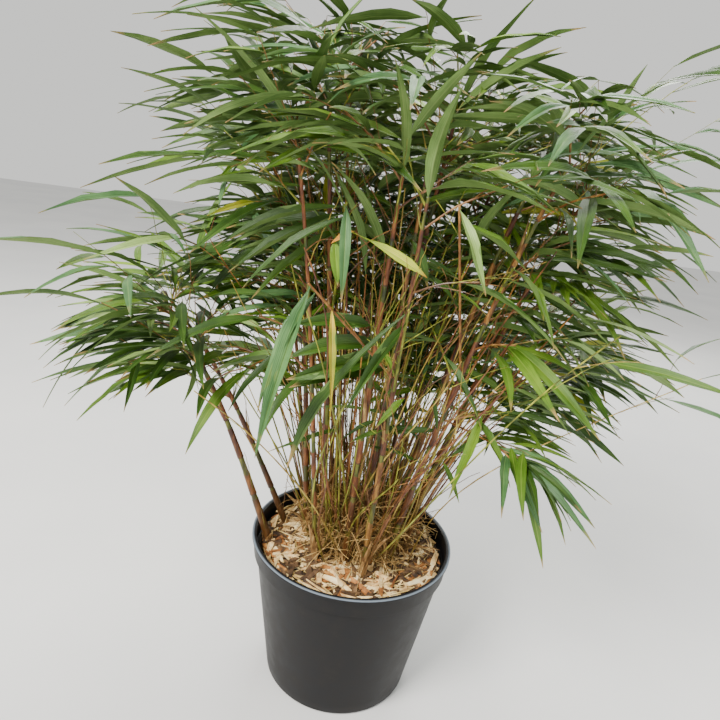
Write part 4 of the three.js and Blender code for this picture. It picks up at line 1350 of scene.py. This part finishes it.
dry_husk = culm_finish("dry_husk", HUSK_BROWNS, 0.7, soiled=0, at=(0.32, 0.5, 0.68))
foot_husks = []
joint_husks = []
draw = seeded(131)
for i, culm in enumerate(culms):
    for _ in range(4):
        place, way = along(culm["line"], draw(0, 0.03))
        outward = level(draw(0, 2 * math.pi))
        radius = culm["radius"] * 1.15
        height = draw(26, 78) if i < CULM_COUNT else draw(8, 18)
        foot_husks.append((place + outward * radius - UP * 2, way, outward, height, draw(8, 17), draw(0.05, 0.7)))
    for _ in range(3):
        place, way = along(culm["line"], draw(0.12, 0.8))
        outward = level(draw(0, 2 * math.pi))
        radius = culm["radius"]
        joint_husks.append((place + outward * radius, way, outward, draw(25, 60), draw(4, 7), draw(0.05, 0.35)))
for heart in tuft_hearts:
    for i in range(12):
        outward = level(i * GOLDEN_ANGLE)
        place = heart + outward * draw(3, 9) - UP * 2
        foot_husks.append((place, unit(UP + outward * 0.4), outward, draw(24, 66), draw(8, 17), draw(0.1, 0.8)))
joined("foot_husks", *husks(foot_husks), [dry_husk], 50, "shoot", SHOOT_NODES)
joined("joint_husks", *husks(joint_husks), [dry_husk], 50, "foliage", foliage_nodes)


# The studio: a plain pale floor under soft light, seen from the photograph's own viewing angle.
CAMERA_PLACE = (-0.0209, -0.7361, 0.7145)
CAMERA_PITCH = 17.86
CAMERA_ROLL = 7.44

bpy.ops.mesh.primitive_plane_add(size=14, location=(0, 0, 0))
floor = bpy.context.object
floor.name = "floor"
pale_floor, tree, shader = new_finish("pale_floor", 0.85)
greys = tints(tree, grain(tree, 0.4, detail=4.0), [(0.60, 0.60, 0.60), (0.66, 0.66, 0.65)], (0.3, 0.7))
feed(tree, shader, {"Base Color": greys})
floor.data.materials.append(pale_floor)

sky = bpy.data.worlds.new("soft_sky")
sky.use_nodes = True
feed(sky.node_tree, sky.node_tree.nodes["Background"], {"Color": (0.93, 0.93, 0.90, 1), "Strength": 1.0})
bpy.context.scene.world = sky
for name, place, power, size, colour in (
    ("key", (-1.5, -1.7, 2.6), 225, 1.2, (1.0, 0.97, 0.92)),
    ("fill", (1.9, -1.4, 1.3), 22, 1.8, (0.95, 0.97, 1.0)),
    ("back", (0.6, 1.9, 2.2), 90, 1.6, (1.0, 1.0, 0.95)),
):
    lamp = bpy.data.objects.new(name, bpy.data.lights.new(name, "AREA"))
    lamp.data.energy = power
    lamp.data.size = size
    lamp.data.color = colour
    lamp.location = place
    lamp.rotation_mode = "QUATERNION"
    lamp.rotation_quaternion = (Vector((0, 0, 0.5)) - Vector(place)).to_track_quat("-Z", "Y")
    bpy.context.collection.objects.link(lamp)

camera = bpy.data.objects.new("camera", bpy.data.cameras.new("camera"))
camera.data.lens = 30
camera.data.sensor_width = 36
camera.data.clip_start = 0.02
camera.matrix_world = (
    Matrix.Translation(CAMERA_PLACE)
    @ Matrix.Rotation(math.radians(90 - CAMERA_PITCH), 4, "X")
    @ Matrix.Rotation(math.radians(CAMERA_ROLL), 4, "Z")
)
bpy.context.collection.objects.link(camera)
bpy.context.scene.camera = camera
